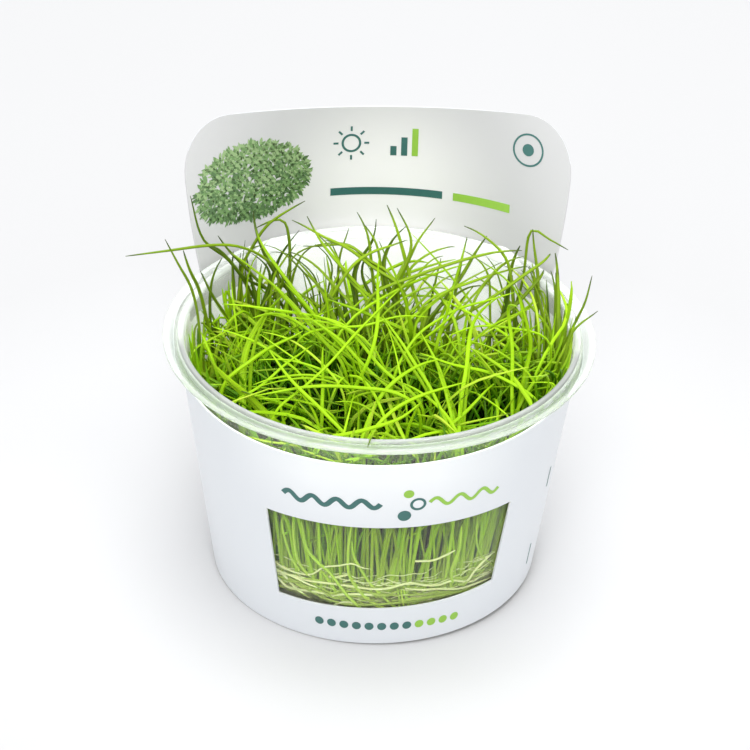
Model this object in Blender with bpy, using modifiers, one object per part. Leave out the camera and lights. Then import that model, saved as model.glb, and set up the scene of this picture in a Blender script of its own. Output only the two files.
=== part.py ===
"""A clear tissue culture cup full of small spikerush, in its white label sleeve.

Metres, +Z up. The origin is the middle of the cup's flat base. -Y is the front, where the sleeve's window is,
and the sleeve's tall card stands at the back. An azimuth runs from the front (0) towards +X (90 degrees).
"""
import math
import random

import bmesh
import bpy
import numpy as np
from mathutils import Vector

# Cup
RIM_RADIUS = 0.0500
RIM_TOP = 0.0619
BASE_RADIUS = 0.0376
TAPER = 0.136            # radius gained for each unit of height
WALL = 0.0008
FLOOR_THICKNESS = 0.0016
FLANGE_Z = 0.0611
FLANGE_THICKNESS = 0.0006
FLANGE_EDGE = 0.0003     # rounding of the flange's outer edge
LIP_WIDTH = 0.0017
CUP_STEPS = 48

# What touches keeps this gap
GAP = 0.0003

# Label sleeve
SHEET = 0.0005
SLEEVE_BOTTOM_Z = 0.0014
SLEEVE_TOP_Z = 0.0559
SLEEVE_SKEW_X = 0.019    # the sleeve sits a little higher at the right
SLEEVE_SKEW_Y = 0.024    # and at the back, where the rim pushes it up
WINDOW_MIDDLE = 6.0      # azimuth in degrees
WINDOW_HALF_BOTTOM = 38.4
WINDOW_HALF_TOP = 40.1
WINDOW_BOTTOM_Z = 0.0115
WINDOW_BOTTOM_RISE = 0.0018   # from its left corner to its right corner
WINDOW_TOP_Z = 0.0365
WINDOW_TOP_SAG = 0.0007
WINDOW_COLUMNS = 10
SIDE_COLUMNS = 10

# Card: the sleeve's tall back, bent round the rim and flatter above it
CARD_TURN = 4.8          # degrees to the left of straight back
CARD_FOOT_Z = 0.0610
CARD_FOOT_RADIUS = RIM_RADIUS + 0.0008
CARD_TOP_Z = 0.0917
CARD_LEAN = 0.10         # outwards for each unit of height
CARD_TOP_BEND = 0.158    # bending radius at the top edge
CARD_HALF_WIDTH = 0.0495
CARD_NARROWING = 0.059   # half width lost for each unit of height
CARD_OFFSET = 0.0021
CARD_CORNER = 0.0122
CARD_NOTCH = 0.0020
CARD_COLUMNS = 10
CARD_ROWS = 3
FLARE_FULL = 60.0        # degrees from the card's middle inside which the sheet stands off the cup
FLARE_NONE = 86.0

# Gel and root mat
GEL_TOP_Z = 0.0090
MAT_TOP_Z = 0.0140

# Culm tufts: rings of plantlets, as (count, radius of the ring)
TUFT_RINGS = ((19, 0.0336), (13, 0.0233), (7, 0.0127), (1, 0.0))
TUFT_RADIUS = 0.0046
TUFT_TOP_RADIUS = 0.0049
TUFT_FOOT_Z = MAT_TOP_Z + GAP
TUFT_SPLIT_Z = 0.0410
TUFT_SPLIT_SPREAD = 0.0030
TUFT_SIDES = 7
CULM_RADIUS = 0.00070
CULM_STEPS = 4
CULM_REACH = (0.003, 0.026)
CULM_DROP = 0.011        # how far a tip may stand below the top of the plants
CULM_CLEARANCE = 0.0016
CULM_DRAWS = 300
TUFT_SEED = 8

# Culms that leave the tuft: name, azimuth of the gap between tufts that it rises in, then points to its tip
STRAY_CULMS = {
    "stray_culm_far_left": (227.4, (-0.0283, 0.0262, 0.0580), (-0.0315, 0.0220, 0.0690),
                            (-0.0400, 0.0170, 0.0731), (-0.0495, 0.0120, 0.0742), (-0.0590, 0.0060, 0.0758)),
    "stray_culm_left": (265.3, (-0.0423, 0.0070, 0.0580), (-0.0440, 0.0080, 0.0665),
                        (-0.0470, 0.0080, 0.0730), (-0.0500, 0.0080, 0.0795)),
    "stray_culm_back_left": (208.4, (-0.0255, 0.0320, 0.0515), (-0.0325, 0.0262, 0.0590),
                             (-0.0368, 0.0242, 0.0655), (-0.0425, 0.0240, 0.0709), (-0.0453, 0.0240, 0.0822)),
    "stray_culm_kinked": (132.6, (0.0336, 0.0272, 0.0600), (0.0349, 0.0300, 0.0720), (0.0396, 0.0280, 0.0712),
                          (0.0438, 0.0245, 0.0706)),
    "stray_culm_right": (94.7, (0.0427, 0.0025, 0.0560), (0.0450, 0.0020, 0.0640), (0.0471, 0.0024, 0.0697),
                         (0.0483, 0.0030, 0.0764)),
    "stray_culm_far_right": (75.8, (0.0424, -0.0050, 0.0560), (0.0443, -0.0020, 0.0640),
                             (0.0501, 0.0020, 0.0676)),
    "stray_culm_front": (0.0, (0.0002, -0.0422, 0.0605), (-0.0002, -0.0448, 0.0640),
                         (-0.0010, -0.0480, 0.0645)),
}
STRAY_FOOT_RADIUS = 0.0376
STRAY_BEND_Z = TUFT_SPLIT_Z + TUFT_SPLIT_SPREAD
STRAY_RADIUS = 0.00065
STRAY_TIP_RADIUS = 0.00030

COLOURS = {
    "clear_plastic": (0.86, 0.89, 0.87, 0.35),
    "white_label": (0.90, 0.91, 0.92, 1.0),
    "gel": (0.78, 0.80, 0.66, 0.6),
    "roots": (0.62, 0.60, 0.36, 1.0),
    "culms": (0.30, 0.52, 0.06, 1.0),
}


def clear_scene():
    """Remove every object that the file starts with."""
    for thing in list(bpy.data.objects):
        bpy.data.objects.remove(thing, do_unlink=True)


def make_collection(name):
    """Return a new collection linked to the scene."""
    group = bpy.data.collections.new(name)
    bpy.context.scene.collection.children.link(group)
    return group


def make_material(name, roughness):
    """Return a Principled material in the named colour."""
    material = bpy.data.materials.new(name)
    material.use_nodes = True
    shader = material.node_tree.nodes["Principled BSDF"]
    red, green, blue, alpha = COLOURS[name]
    shader.inputs["Base Color"].default_value = (red, green, blue, 1.0)
    shader.inputs["Alpha"].default_value = alpha
    shader.inputs["Roughness"].default_value = roughness
    shader.inputs["Metallic"].default_value = 0.0
    return material


def add_object(name, mesh, material, smooth_angle=40.0):
    """Put a mesh in the part's collection as a named object, shaded smooth."""
    mesh.materials.append(material)
    mesh.shade_smooth()
    mesh.set_sharp_from_angle(angle=math.radians(smooth_angle))
    thing = bpy.data.objects.new(name, mesh)
    PART.objects.link(thing)
    return thing


def mesh_from(bm, name):
    """Turn a bmesh into a mesh and free it."""
    mesh = bpy.data.meshes.new(name)
    bm.normal_update()
    bm.to_mesh(mesh)
    bm.free()
    return mesh


def around(azimuth, radius, z):
    """Return the point at an azimuth in degrees from the front, a radius and a height."""
    angle = math.radians(azimuth)
    return Vector((radius * math.sin(angle), -radius * math.cos(angle), z))


def smoothstep(value, low, high):
    """Ease from 0 at low to 1 at high."""
    share = min(max((value - low) / (high - low), 0.0), 1.0)
    return share * share * (3.0 - 2.0 * share)


def wall_outside(z):
    """Return the radius of the cup's outer wall at a height."""
    return BASE_RADIUS + TAPER * z


def wall_inside(z):
    """Return the radius of the cup's inner wall at a height."""
    return wall_outside(z) - WALL


def turned(name, profile, material, steps):
    """Turn a profile of (radius, z) points into a closed solid with a Screw modifier."""
    bm = bmesh.new()
    points = [bm.verts.new((radius, 0.0, z)) for radius, z in profile]
    for start, end in zip(points, points[1:]):
        bm.edges.new((start, end))
    thing = add_object(name, mesh_from(bm, name), material)
    screw = thing.modifiers.new("turn", "SCREW")
    screw.axis = "Z"
    screw.angle = math.tau
    screw.steps = steps
    screw.render_steps = steps
    screw.use_merge_vertices = True
    screw.merge_threshold = 0.00002
    screw.use_smooth_shade = True
    return thing


def build_cup():
    """Make the clear cup: flat base, tapered wall and a thin flange rim with a raised lip."""
    lip_inner = wall_inside(FLANGE_Z)
    flange_under = FLANGE_Z - FLANGE_THICKNESS
    profile = [
        (0.0, FLOOR_THICKNESS),
        (wall_inside(0.0) - 0.0010, FLOOR_THICKNESS),
        (wall_inside(0.0026), 0.0026),
        (lip_inner, FLANGE_Z),
        (lip_inner + 0.30 * LIP_WIDTH, RIM_TOP),
        (lip_inner + 0.75 * LIP_WIDTH, RIM_TOP),
        (lip_inner + LIP_WIDTH + 0.0003, FLANGE_Z),
        (RIM_RADIUS - FLANGE_EDGE, FLANGE_Z),
        (RIM_RADIUS, FLANGE_Z - FLANGE_EDGE),
        (RIM_RADIUS, flange_under),
        (wall_outside(flange_under), flange_under),
        (wall_outside(0.0010), 0.0010),
        (wall_outside(0.0) - 0.0010, 0.0),
        (0.0, 0.0),
    ]
    turned("cup", profile, make_material("clear_plastic", 0.12), CUP_STEPS)


def build_gel():
    """Make the gel that fills the bottom of the cup."""
    profile = [
        (0.0, GEL_TOP_Z - 0.0004),
        (wall_inside(GEL_TOP_Z) - 0.0022, GEL_TOP_Z - 0.0004),
        (wall_inside(GEL_TOP_Z) - GAP, GEL_TOP_Z),
        (wall_inside(0.0034) - GAP, 0.0034),
        (wall_inside(0.0) - 0.0018, FLOOR_THICKNESS + GAP),
        (0.0, FLOOR_THICKNESS + GAP),
    ]
    turned("nutrient_gel", profile, make_material("gel", 0.2), 32)


def build_root_mat():
    """Make the lumpy mat of roots and runners that stands on the gel."""
    bottom = GEL_TOP_Z + GAP
    rings = (
        (wall_inside(bottom) - 0.0016, bottom),
        (wall_inside(bottom + 0.0018) - 0.0005, bottom + 0.0018),
        (wall_inside(MAT_TOP_Z - 0.0010) - 0.0006, MAT_TOP_Z - 0.0010),
        (wall_inside(MAT_TOP_Z) - 0.0024, MAT_TOP_Z),
    )
    steps = 40
    bm = bmesh.new()
    loops = []
    for row, (radius, z) in enumerate(rings):
        loop = []
        for step in range(steps):
            azimuth = 360.0 * step / steps
            wave = math.sin(5.0 * math.radians(azimuth) + 2.1 * row)
            lump = 0.0 if row == 0 else 0.0007 * (0.5 + 0.5 * wave)
            loop.append(bm.verts.new(around(azimuth, radius - lump, z)))
        loops.append(loop)
    for lower, upper in zip(loops, loops[1:]):
        for step in range(steps):
            following = (step + 1) % steps
            bm.faces.new((lower[step], lower[following], upper[following], upper[step]))
    bm.faces.new(loops[0][::-1])
    bm.faces.new(loops[-1])
    add_object("root_mat", mesh_from(bm, "root_mat"), make_material("roots", 0.7))


def sheet_radius(azimuth, z):
    """Return the radius of the sheet's inner side below the card: on the cup, or flared out at the back."""
    on_cup = wall_outside(z) + GAP
    foot = wall_outside(0.0) + GAP
    flared = foot + (CARD_FOOT_RADIUS - foot) * z / CARD_FOOT_Z
    from_card = abs((azimuth - CARD_TURN) % 360.0 - 180.0)
    return on_cup + (flared - on_cup) * (1.0 - smoothstep(from_card, FLARE_FULL, FLARE_NONE))


def skewed(azimuth, z):
    """Return a sheet point at a height that the sleeve's skew shifts."""
    flat = around(azimuth, sheet_radius(azimuth, z), z)
    shifted = z + SLEEVE_SKEW_X * flat.x + SLEEVE_SKEW_Y * flat.y
    return around(azimuth, sheet_radius(azimuth, shifted), shifted)


def card_point(side, height):
    """Return a point of the card: side is measured along its foot, height above its foot."""
    rise = CARD_TOP_Z - CARD_FOOT_Z
    share = min(height / rise, 1.0)
    bend = 1.0 / CARD_FOOT_RADIUS + (1.0 / CARD_TOP_BEND - 1.0 / CARD_FOOT_RADIUS) * share
    narrowed = CARD_OFFSET + (side - CARD_OFFSET) * (1.0 - CARD_NARROWING * height / CARD_HALF_WIDTH)
    x = math.sin(narrowed * bend) / bend
    y = CARD_FOOT_RADIUS + CARD_LEAN * height - (1.0 - math.cos(narrowed * bend)) / bend
    turn = math.radians(CARD_TURN)
    turned_x = x * math.cos(turn) - y * math.sin(turn)
    turned_y = x * math.sin(turn) + y * math.cos(turn)
    return Vector((turned_x, turned_y, CARD_FOOT_Z + height))


def card_columns():
    """Return (side, top height) of the card's columns, from its right edge to its left edge."""
    rise = CARD_TOP_Z - CARD_FOOT_Z
    corner = [math.radians(angle) for angle in (0.0, 22.5, 45.0, 67.5, 90.0)]
    ends = [(CARD_CORNER * (1.0 - math.cos(angle)), rise - CARD_CORNER * (1.0 - math.sin(angle)))
            for angle in corner]
    right = [(CARD_OFFSET + CARD_HALF_WIDTH - inset, top) for inset, top in ends]
    left = [(CARD_OFFSET - CARD_HALF_WIDTH + inset, top) for inset, top in reversed(ends)]
    start, stop = right[-1][0], left[0][0]
    middle = [(start + (stop - start) * step / CARD_COLUMNS, rise) for step in range(1, CARD_COLUMNS)]
    return right + middle + left


def window_edges(share):
    """Return the window's two (azimuth, z) points, lower and upper, at a share from its left to its right."""
    across = 2.0 * share - 1.0
    lower = (WINDOW_MIDDLE + across * WINDOW_HALF_BOTTOM, WINDOW_BOTTOM_Z + 0.5 * WINDOW_BOTTOM_RISE * across)
    upper = (WINDOW_MIDDLE + across * WINDOW_HALF_TOP, WINDOW_TOP_Z - WINDOW_TOP_SAG * across * across)
    return lower, upper


def sleeve_columns():
    """Return the sheet's columns round the cup, each as its points and whether its window gap is open."""
    columns = []

    def add(azimuth, lower, upper, is_open, card=None, notch=0.0):
        low_point = around(lower[0], sheet_radius(lower[0], lower[1]), lower[1])
        high_point = around(upper[0], sheet_radius(upper[0], upper[1]), upper[1])
        edge = skewed(azimuth, SLEEVE_TOP_Z + notch)
        points = [skewed(azimuth, SLEEVE_BOTTOM_Z), low_point, high_point, edge]
        if card is not None:
            side, top = card
            points += [card_point(side, top * row / CARD_ROWS) for row in range(CARD_ROWS + 1)]
        columns.append((points, is_open))

    for step in range(WINDOW_COLUMNS + 1):
        lower, upper = window_edges(step / WINDOW_COLUMNS)
        add(0.5 * (lower[0] + upper[0]), lower, upper, step < WINDOW_COLUMNS)

    def add_plain(azimuth, card=None, notch=0.0):
        edge = 1.0 if azimuth < 180.0 else 0.0
        lower, upper = window_edges(edge)
        add(azimuth, (azimuth, lower[1]), (azimuth, upper[1]), False, card, notch)

    card = card_columns()
    back = 180.0 + CARD_TURN
    right_edge = back - math.degrees(card[0][0] / CARD_FOOT_RADIUS)
    left_edge = back - math.degrees(card[-1][0] / CARD_FOOT_RADIUS)
    window_right = columns[-1][0][1]
    start = math.degrees(math.atan2(window_right.x, -window_right.y))
    for step in range(1, SIDE_COLUMNS):
        add_plain(start + (right_edge - start) * step / SIDE_COLUMNS)
    for side, top in card:
        azimuth = back - math.degrees(side / CARD_FOOT_RADIUS)
        at_edge = azimuth in (right_edge, left_edge)
        add_plain(azimuth, (side, top), CARD_NOTCH if at_edge else 0.0)
    window_left = columns[0][0][1]
    stop = 360.0 + math.degrees(math.atan2(window_left.x, -window_left.y))
    for step in range(1, SIDE_COLUMNS + 1):
        add_plain(left_edge + (stop - left_edge) * step / (SIDE_COLUMNS + 1))
    return columns


def build_sleeve():
    """Make the sleeve with its window and its tall back card as one sheet, then give it its thickness."""
    bm = bmesh.new()
    columns = sleeve_columns()
    grid = [[bm.verts.new(point) for point in points] for points, _ in columns]
    for index, (points, is_open) in enumerate(columns):
        here, following = grid[index], grid[(index + 1) % len(grid)]
        for row in range(min(len(here), len(following)) - 1):
            if row == 1 and is_open:
                continue
            bm.faces.new((here[row], following[row], following[row + 1], here[row + 1]))
    thing = add_object("label_sleeve", mesh_from(bm, "label_sleeve"), make_material("white_label", 0.35))
    solidify = thing.modifiers.new("sheet", "SOLIDIFY")
    solidify.thickness = SHEET
    solidify.offset = 1.0
    solidify.use_even_offset = True


def tuft_places():
    """Return the foot of every tuft as (x, y), ring by ring, each a little off its place."""
    draw = random.Random(TUFT_SEED)
    places = []
    for count, radius in TUFT_RINGS:
        for step in range(count):
            azimuth = 360.0 * (step + 0.5) / count
            spot = around(azimuth, radius + draw.uniform(-0.0002, 0.0002), 0.0)
            places.append((spot.x, spot.y))
    return places


def tuft_height(x, y):
    """Return how high the tips stand: level with the rim at the front, taller at the back and the sides."""
    return 0.0695 + 0.16 * y + 0.05 * abs(x)


def widened(foot, z):
    """Return where a culm that only follows the cup's taper stands at a height above its foot."""
    share = wall_inside(z) / wall_inside(foot.z)
    return Vector((foot.x * share, foot.y * share, z))


def culm_path(foot, azimuth, reach, tip_z, droop):
    """Return the points of one arching culm, from above its foot to its tip."""
    points = []
    rise = tip_z - foot.z
    for step in range(1, CULM_STEPS + 1):
        share = step / CULM_STEPS
        out = reach * share ** (1.9 - 0.8 * droop)
        z = foot.z + rise * ((1.0 + droop) * share - droop * share ** 2.4)
        points.append(widened(foot, z) + around(azimuth, out, 0.0))
    return points


def stays_inside(points):
    """Say whether a path keeps clear of the cup's wall, its rim and the card."""
    for point in points:
        radius = math.hypot(point.x, point.y)
        limit = wall_inside(point.z) - 0.0011 if point.z < RIM_TOP + 0.0014 else 0.0475
        if radius > limit:
            return False
    return True


def fine_points(points, spacing=0.0016):
    """Return points along a path that are close enough to measure clearances with."""
    dense = []
    for start, end in zip(points, points[1:]):
        count = max(1, math.ceil((end - start).length / spacing))
        dense += [start.lerp(end, step / count) for step in range(count)]
    dense.append(points[-1])
    return dense


def is_clear(dense, taken):
    """Say whether a path keeps its distance from all the points that are taken."""
    apart = np.array(dense)[:, None, :] - taken[None, :, :]
    return bool((apart ** 2).sum(axis=2).min() > CULM_CLEARANCE ** 2)


def stray_tube(points):
    """Return a square tapered tube along the points as a closed bmesh."""
    bm = bmesh.new()
    rings = []
    offsets = [Vector((math.cos(a), math.sin(a), 0.0)) for a in (0.0, math.pi / 2, math.pi, 1.5 * math.pi)]
    heading = Vector((0.0, 0.0, 1.0))
    for index, point in enumerate(points):
        ahead = points[min(index + 1, len(points) - 1)] - points[max(index - 1, 0)]
        turn = heading.rotation_difference(ahead.normalized())
        offsets = [turn @ offset for offset in offsets]
        heading = ahead.normalized()
        share = index / (len(points) - 1)
        radius = STRAY_RADIUS + (STRAY_TIP_RADIUS - STRAY_RADIUS) * share
        rings.append([bm.verts.new(point + radius * offset) for offset in offsets])
    for lower, upper in zip(rings, rings[1:]):
        for side in range(4):
            following = (side + 1) % 4
            bm.faces.new((lower[side], lower[following], upper[following], upper[side]))
    bm.faces.new(rings[0][::-1])
    bm.faces.new(rings[-1])
    return bm


def build_strays(material):
    """Make the single culms that leave the tuft, and return the points along them."""
    taken = []
    for name, (azimuth, *path) in STRAY_CULMS.items():
        foot = around(azimuth, STRAY_FOOT_RADIUS, TUFT_FOOT_Z)
        points = [foot, widened(foot, STRAY_BEND_Z)] + [Vector(point) for point in path]
        add_object(name, mesh_from(stray_tube(points), name), material)
        taken += fine_points(points)
    return np.array(taken)


def find_culm(draw, foot, azimuth, taken):
    """Draw culms towards an azimuth until one keeps clear of everything; the later draws are shorter."""
    for attempt in range(CULM_DRAWS):
        spent = attempt / CULM_DRAWS
        swing = draw.uniform(-25.0, 25.0) * (1.0 + 4.0 * spent)
        reach = draw.uniform(*CULM_REACH) * (1.0 - 0.9 * spent)
        top = tuft_height(foot.x, foot.y) - draw.uniform(0.0, CULM_DROP) * (1.0 + spent)
        points = culm_path(foot, azimuth + swing, reach, top, draw.uniform(0.0, 0.9))
        if stays_inside(points) and is_clear(fine_points([foot] + points)[1:], taken):
            return points
    return None


def grow_culm(bm, face, points):
    """Grow one tapered three-sided culm out of a triangle of the tuft's top."""
    corners = [loop.vert for loop in face.loops]
    middle = face.calc_center_median()
    offsets = [(corner.co - middle).normalized() for corner in corners]
    bm.faces.remove(face)
    heading = Vector((0.0, 0.0, 1.0))
    below = corners
    track = [middle] + points
    for index in range(1, len(track)):
        ahead = track[min(index + 1, len(track) - 1)] - track[index - 1]
        turn = heading.rotation_difference(ahead.normalized())
        offsets = [turn @ offset for offset in offsets]
        heading = ahead.normalized()
        if index == len(track) - 1:
            tip = bm.verts.new(track[index])
            for side in range(3):
                bm.faces.new((below[side], below[(side + 1) % 3], tip))
            return
        share = index / (len(track) - 1)
        radius = CULM_RADIUS * (1.25 - 0.75 * share)
        ring = [bm.verts.new(track[index] + radius * offset) for offset in offsets]
        for side in range(3):
            following = (side + 1) % 3
            bm.faces.new((below[side], below[following], ring[following], ring[side]))
        below = ring


def build_tuft(name, place, draw, taken, material):
    """Make one plantlet, a bundle of culms that opens above, and return all the points that are taken."""
    bm = bmesh.new()
    turn = draw.uniform(0.0, 60.0)
    foot_centre = Vector((place[0], place[1], TUFT_FOOT_Z))
    split_z = TUFT_SPLIT_Z + draw.uniform(-TUFT_SPLIT_SPREAD, TUFT_SPLIT_SPREAD)
    centre = widened(foot_centre, split_z)
    lower, upper = [], []
    for side in range(TUFT_SIDES):
        azimuth = turn + 360.0 * side / TUFT_SIDES
        lower.append(bm.verts.new(foot_centre + around(azimuth, TUFT_RADIUS, 0.0)))
        upper.append(bm.verts.new(centre + around(azimuth, TUFT_TOP_RADIUS, 0.0)))
    crown = bm.verts.new(centre)
    lobes = []
    for side in range(TUFT_SIDES):
        following = (side + 1) % TUFT_SIDES
        bm.faces.new((lower[side], lower[following], upper[following], upper[side]))
        lobes.append(bm.faces.new((upper[side], upper[following], crown)))
    bm.faces.new(lower[::-1])
    bm.normal_update()
    main_azimuth = draw.uniform(0.0, 360.0)
    feet = [lobe.calc_center_median() for lobe in lobes]
    for lobe, foot in zip(lobes, feet):
        points = find_culm(draw, foot, main_azimuth + draw.uniform(-80.0, 80.0), taken)
        if points is not None:
            taken = np.vstack([taken, fine_points([foot] + points)[1:]])
            grow_culm(bm, lobe, points)
    add_object(name, mesh_from(bm, name), material)
    return taken


def build_plant():
    """Make the stray culms first, then every tuft round them."""
    material = make_material("culms", 0.45)
    taken = build_strays(material)
    draw = random.Random(TUFT_SEED)
    for index, place in enumerate(tuft_places()):
        taken = build_tuft(f"culm_tuft_{index + 1:02d}", place, draw, taken, material)


clear_scene()
PART = make_collection("tissue_culture_small_spikerush")
build_cup()
build_sleeve()
build_gel()
build_root_mat()
build_plant()
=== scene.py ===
"""Looks of a clear tissue culture cup full of small spikerush, in its white label sleeve.

Metres, in the CAD's own frame: +Z up, the window at -Y, the card at +Y. An azimuth runs from the front (0)
towards +X (90 degrees). Names that end in _PX are pixels of the 750 x 750 photograph.
"""
import math
import random

import bpy
import numpy as np
from mathutils import Matrix, Vector
from mathutils.bvhtree import BVHTree


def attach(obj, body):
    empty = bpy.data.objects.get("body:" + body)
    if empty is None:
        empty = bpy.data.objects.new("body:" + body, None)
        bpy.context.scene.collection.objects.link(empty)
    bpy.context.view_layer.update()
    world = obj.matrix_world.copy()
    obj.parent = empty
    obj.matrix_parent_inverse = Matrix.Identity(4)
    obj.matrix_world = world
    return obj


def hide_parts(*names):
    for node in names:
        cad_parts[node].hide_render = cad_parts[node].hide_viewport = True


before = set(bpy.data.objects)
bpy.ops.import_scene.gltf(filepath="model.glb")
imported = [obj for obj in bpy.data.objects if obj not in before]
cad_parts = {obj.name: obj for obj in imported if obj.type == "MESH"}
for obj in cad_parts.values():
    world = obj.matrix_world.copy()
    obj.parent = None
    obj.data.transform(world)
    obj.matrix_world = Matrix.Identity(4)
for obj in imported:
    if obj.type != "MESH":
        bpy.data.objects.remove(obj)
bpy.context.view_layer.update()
MILLIMETRE = 0.001
SEED = 23

# Camera, as solved from the cup's rim, the sleeve and the window
PHOTO_SIZE_PX = 750
SENSOR = 36.0
LENS = 149.18
CAMERA_PLACE = Vector((0.0030, -0.6115, 0.4374))
CAMERA_PITCH = 32.39
CAMERA_YAW = 0.35
CAMERA_ROLL = 1.68
WALL_SEARCH_STEP = 0.0001
WALL_SEARCH_STEPS = 400

# Cup, as in the CAD
RIM_RADIUS = 0.0500
RIM_TOP = 0.0619
BASE_RADIUS = 0.0376
TAPER = 0.136
WALL = 0.0008
FLOOR_THICKNESS = 0.0016
FLANGE_Z = 0.0611
FLANGE_THICKNESS = 0.0006
LIP_WIDTH = 0.0017
MAT_TOP_Z = 0.0140

# How the cup's edges are rounded here
CUP_STEPS = 180
FLANGE_EDGE = 0.0003
LIP_ROUND = 0.42
LIP_SHOULDER = 0.25
SMALL_STEP = 0.0003
EDGE_FALL_WIDTH = 0.0012
EDGE_FALL = 0.00005
FLOOR_CORNER = 0.0012
FLOOR_CORNER_WIDTH = 0.0014
BASE_CORNER = 0.0012
BASE_CORNER_RISE = 0.0004
INNER_HEIGHTS = (0.0032, 0.016, 0.030, 0.045, 0.058)
OUTER_HEIGHTS = (0.058, 0.045, 0.030, 0.016, 0.0014)

# Label sleeve, as in the CAD
GAP = 0.0003
SHEET = 0.00045
SLEEVE_BOTTOM_Z = 0.0014
SLEEVE_TOP_Z = 0.0559
SLEEVE_SKEW_X = 0.019
SLEEVE_SKEW_Y = 0.024
WINDOW_MIDDLE = 6.0
WINDOW_HALF_BOTTOM = 38.4
WINDOW_HALF_TOP = 40.1
WINDOW_BOTTOM_Z = 0.0115
WINDOW_BOTTOM_RISE = 0.0018
WINDOW_TOP_Z = 0.0365
WINDOW_TOP_SAG = 0.0007
CARD_TURN = 4.8
CARD_FOOT_Z = 0.0610
CARD_FOOT_RADIUS = RIM_RADIUS + 0.0008
CARD_TOP_Z = 0.0917
CARD_LEAN = 0.10
CARD_TOP_BEND = 0.158
CARD_HALF_WIDTH = 0.0495
CARD_NARROWING = 0.059
CARD_OFFSET = 0.0021
CARD_CORNER = 0.0122
CARD_NOTCH = 0.0020
FLARE_FULL = 60.0
FLARE_NONE = 86.0

# How finely the sleeve is divided here
WINDOW_COLUMNS = 36
SIDE_COLUMNS = 40
CARD_COLUMNS = 44
CORNER_COLUMNS = 12
CARD_ROWS = 16
WINDOW_ROW = 1
SHARP_ANGLE = 50.0
SHEET_SHARP_ANGLE = 40.0


def rotated_camera():
    """Return the camera's rotation from its pitch, yaw and roll."""
    yaw = Matrix.Rotation(math.radians(CAMERA_YAW), 3, "Z")
    pitch = Matrix.Rotation(math.radians(90.0 - CAMERA_PITCH), 3, "X")
    roll = Matrix.Rotation(math.radians(CAMERA_ROLL), 3, "Z")
    return yaw @ pitch @ roll


CAMERA_TURN = rotated_camera()


def sight_line(pixel):
    """Return the direction in which the camera sees a pixel of the photograph."""
    focal = LENS / SENSOR * PHOTO_SIZE_PX
    middle = 0.5 * PHOTO_SIZE_PX
    return CAMERA_TURN @ Vector(((pixel[0] - middle) / focal, (middle - pixel[1]) / focal, -1.0))


def seen_at_depth(pixel, y):
    """Return the point that the photograph shows at a pixel, when it stands at depth y."""
    line = sight_line(pixel)
    return CAMERA_PLACE + line * ((y - CAMERA_PLACE.y) / line.y)


def seen_at_height(pixel, z):
    """Return the point that the photograph shows at a pixel, when it lies at height z."""
    line = sight_line(pixel)
    return CAMERA_PLACE + line * ((z - CAMERA_PLACE.z) / line.z)


def wall_inside(z):
    """Return the radius of the cup's inner wall at a height."""
    return BASE_RADIUS + TAPER * z - WALL


def seen_on_wall(pixel, inset):
    """Return the point at a pixel on the near side of the cup's wall, an inset inside it."""
    for step in range(WALL_SEARCH_STEPS):
        point = seen_at_depth(pixel, WALL_SEARCH_STEP * step - RIM_RADIUS)
        if math.hypot(point.x, point.y) <= wall_inside(point.z) - inset:
            break
    return point


def around(azimuth, radius, z):
    """Return the point at an azimuth in degrees from the front, a radius and a height."""
    angle = math.radians(azimuth)
    return Vector((radius * math.sin(angle), -radius * math.cos(angle), z))


# Materials


def grey(tone):
    """Return the grey of a tone."""
    return (tone, tone, tone)


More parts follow.
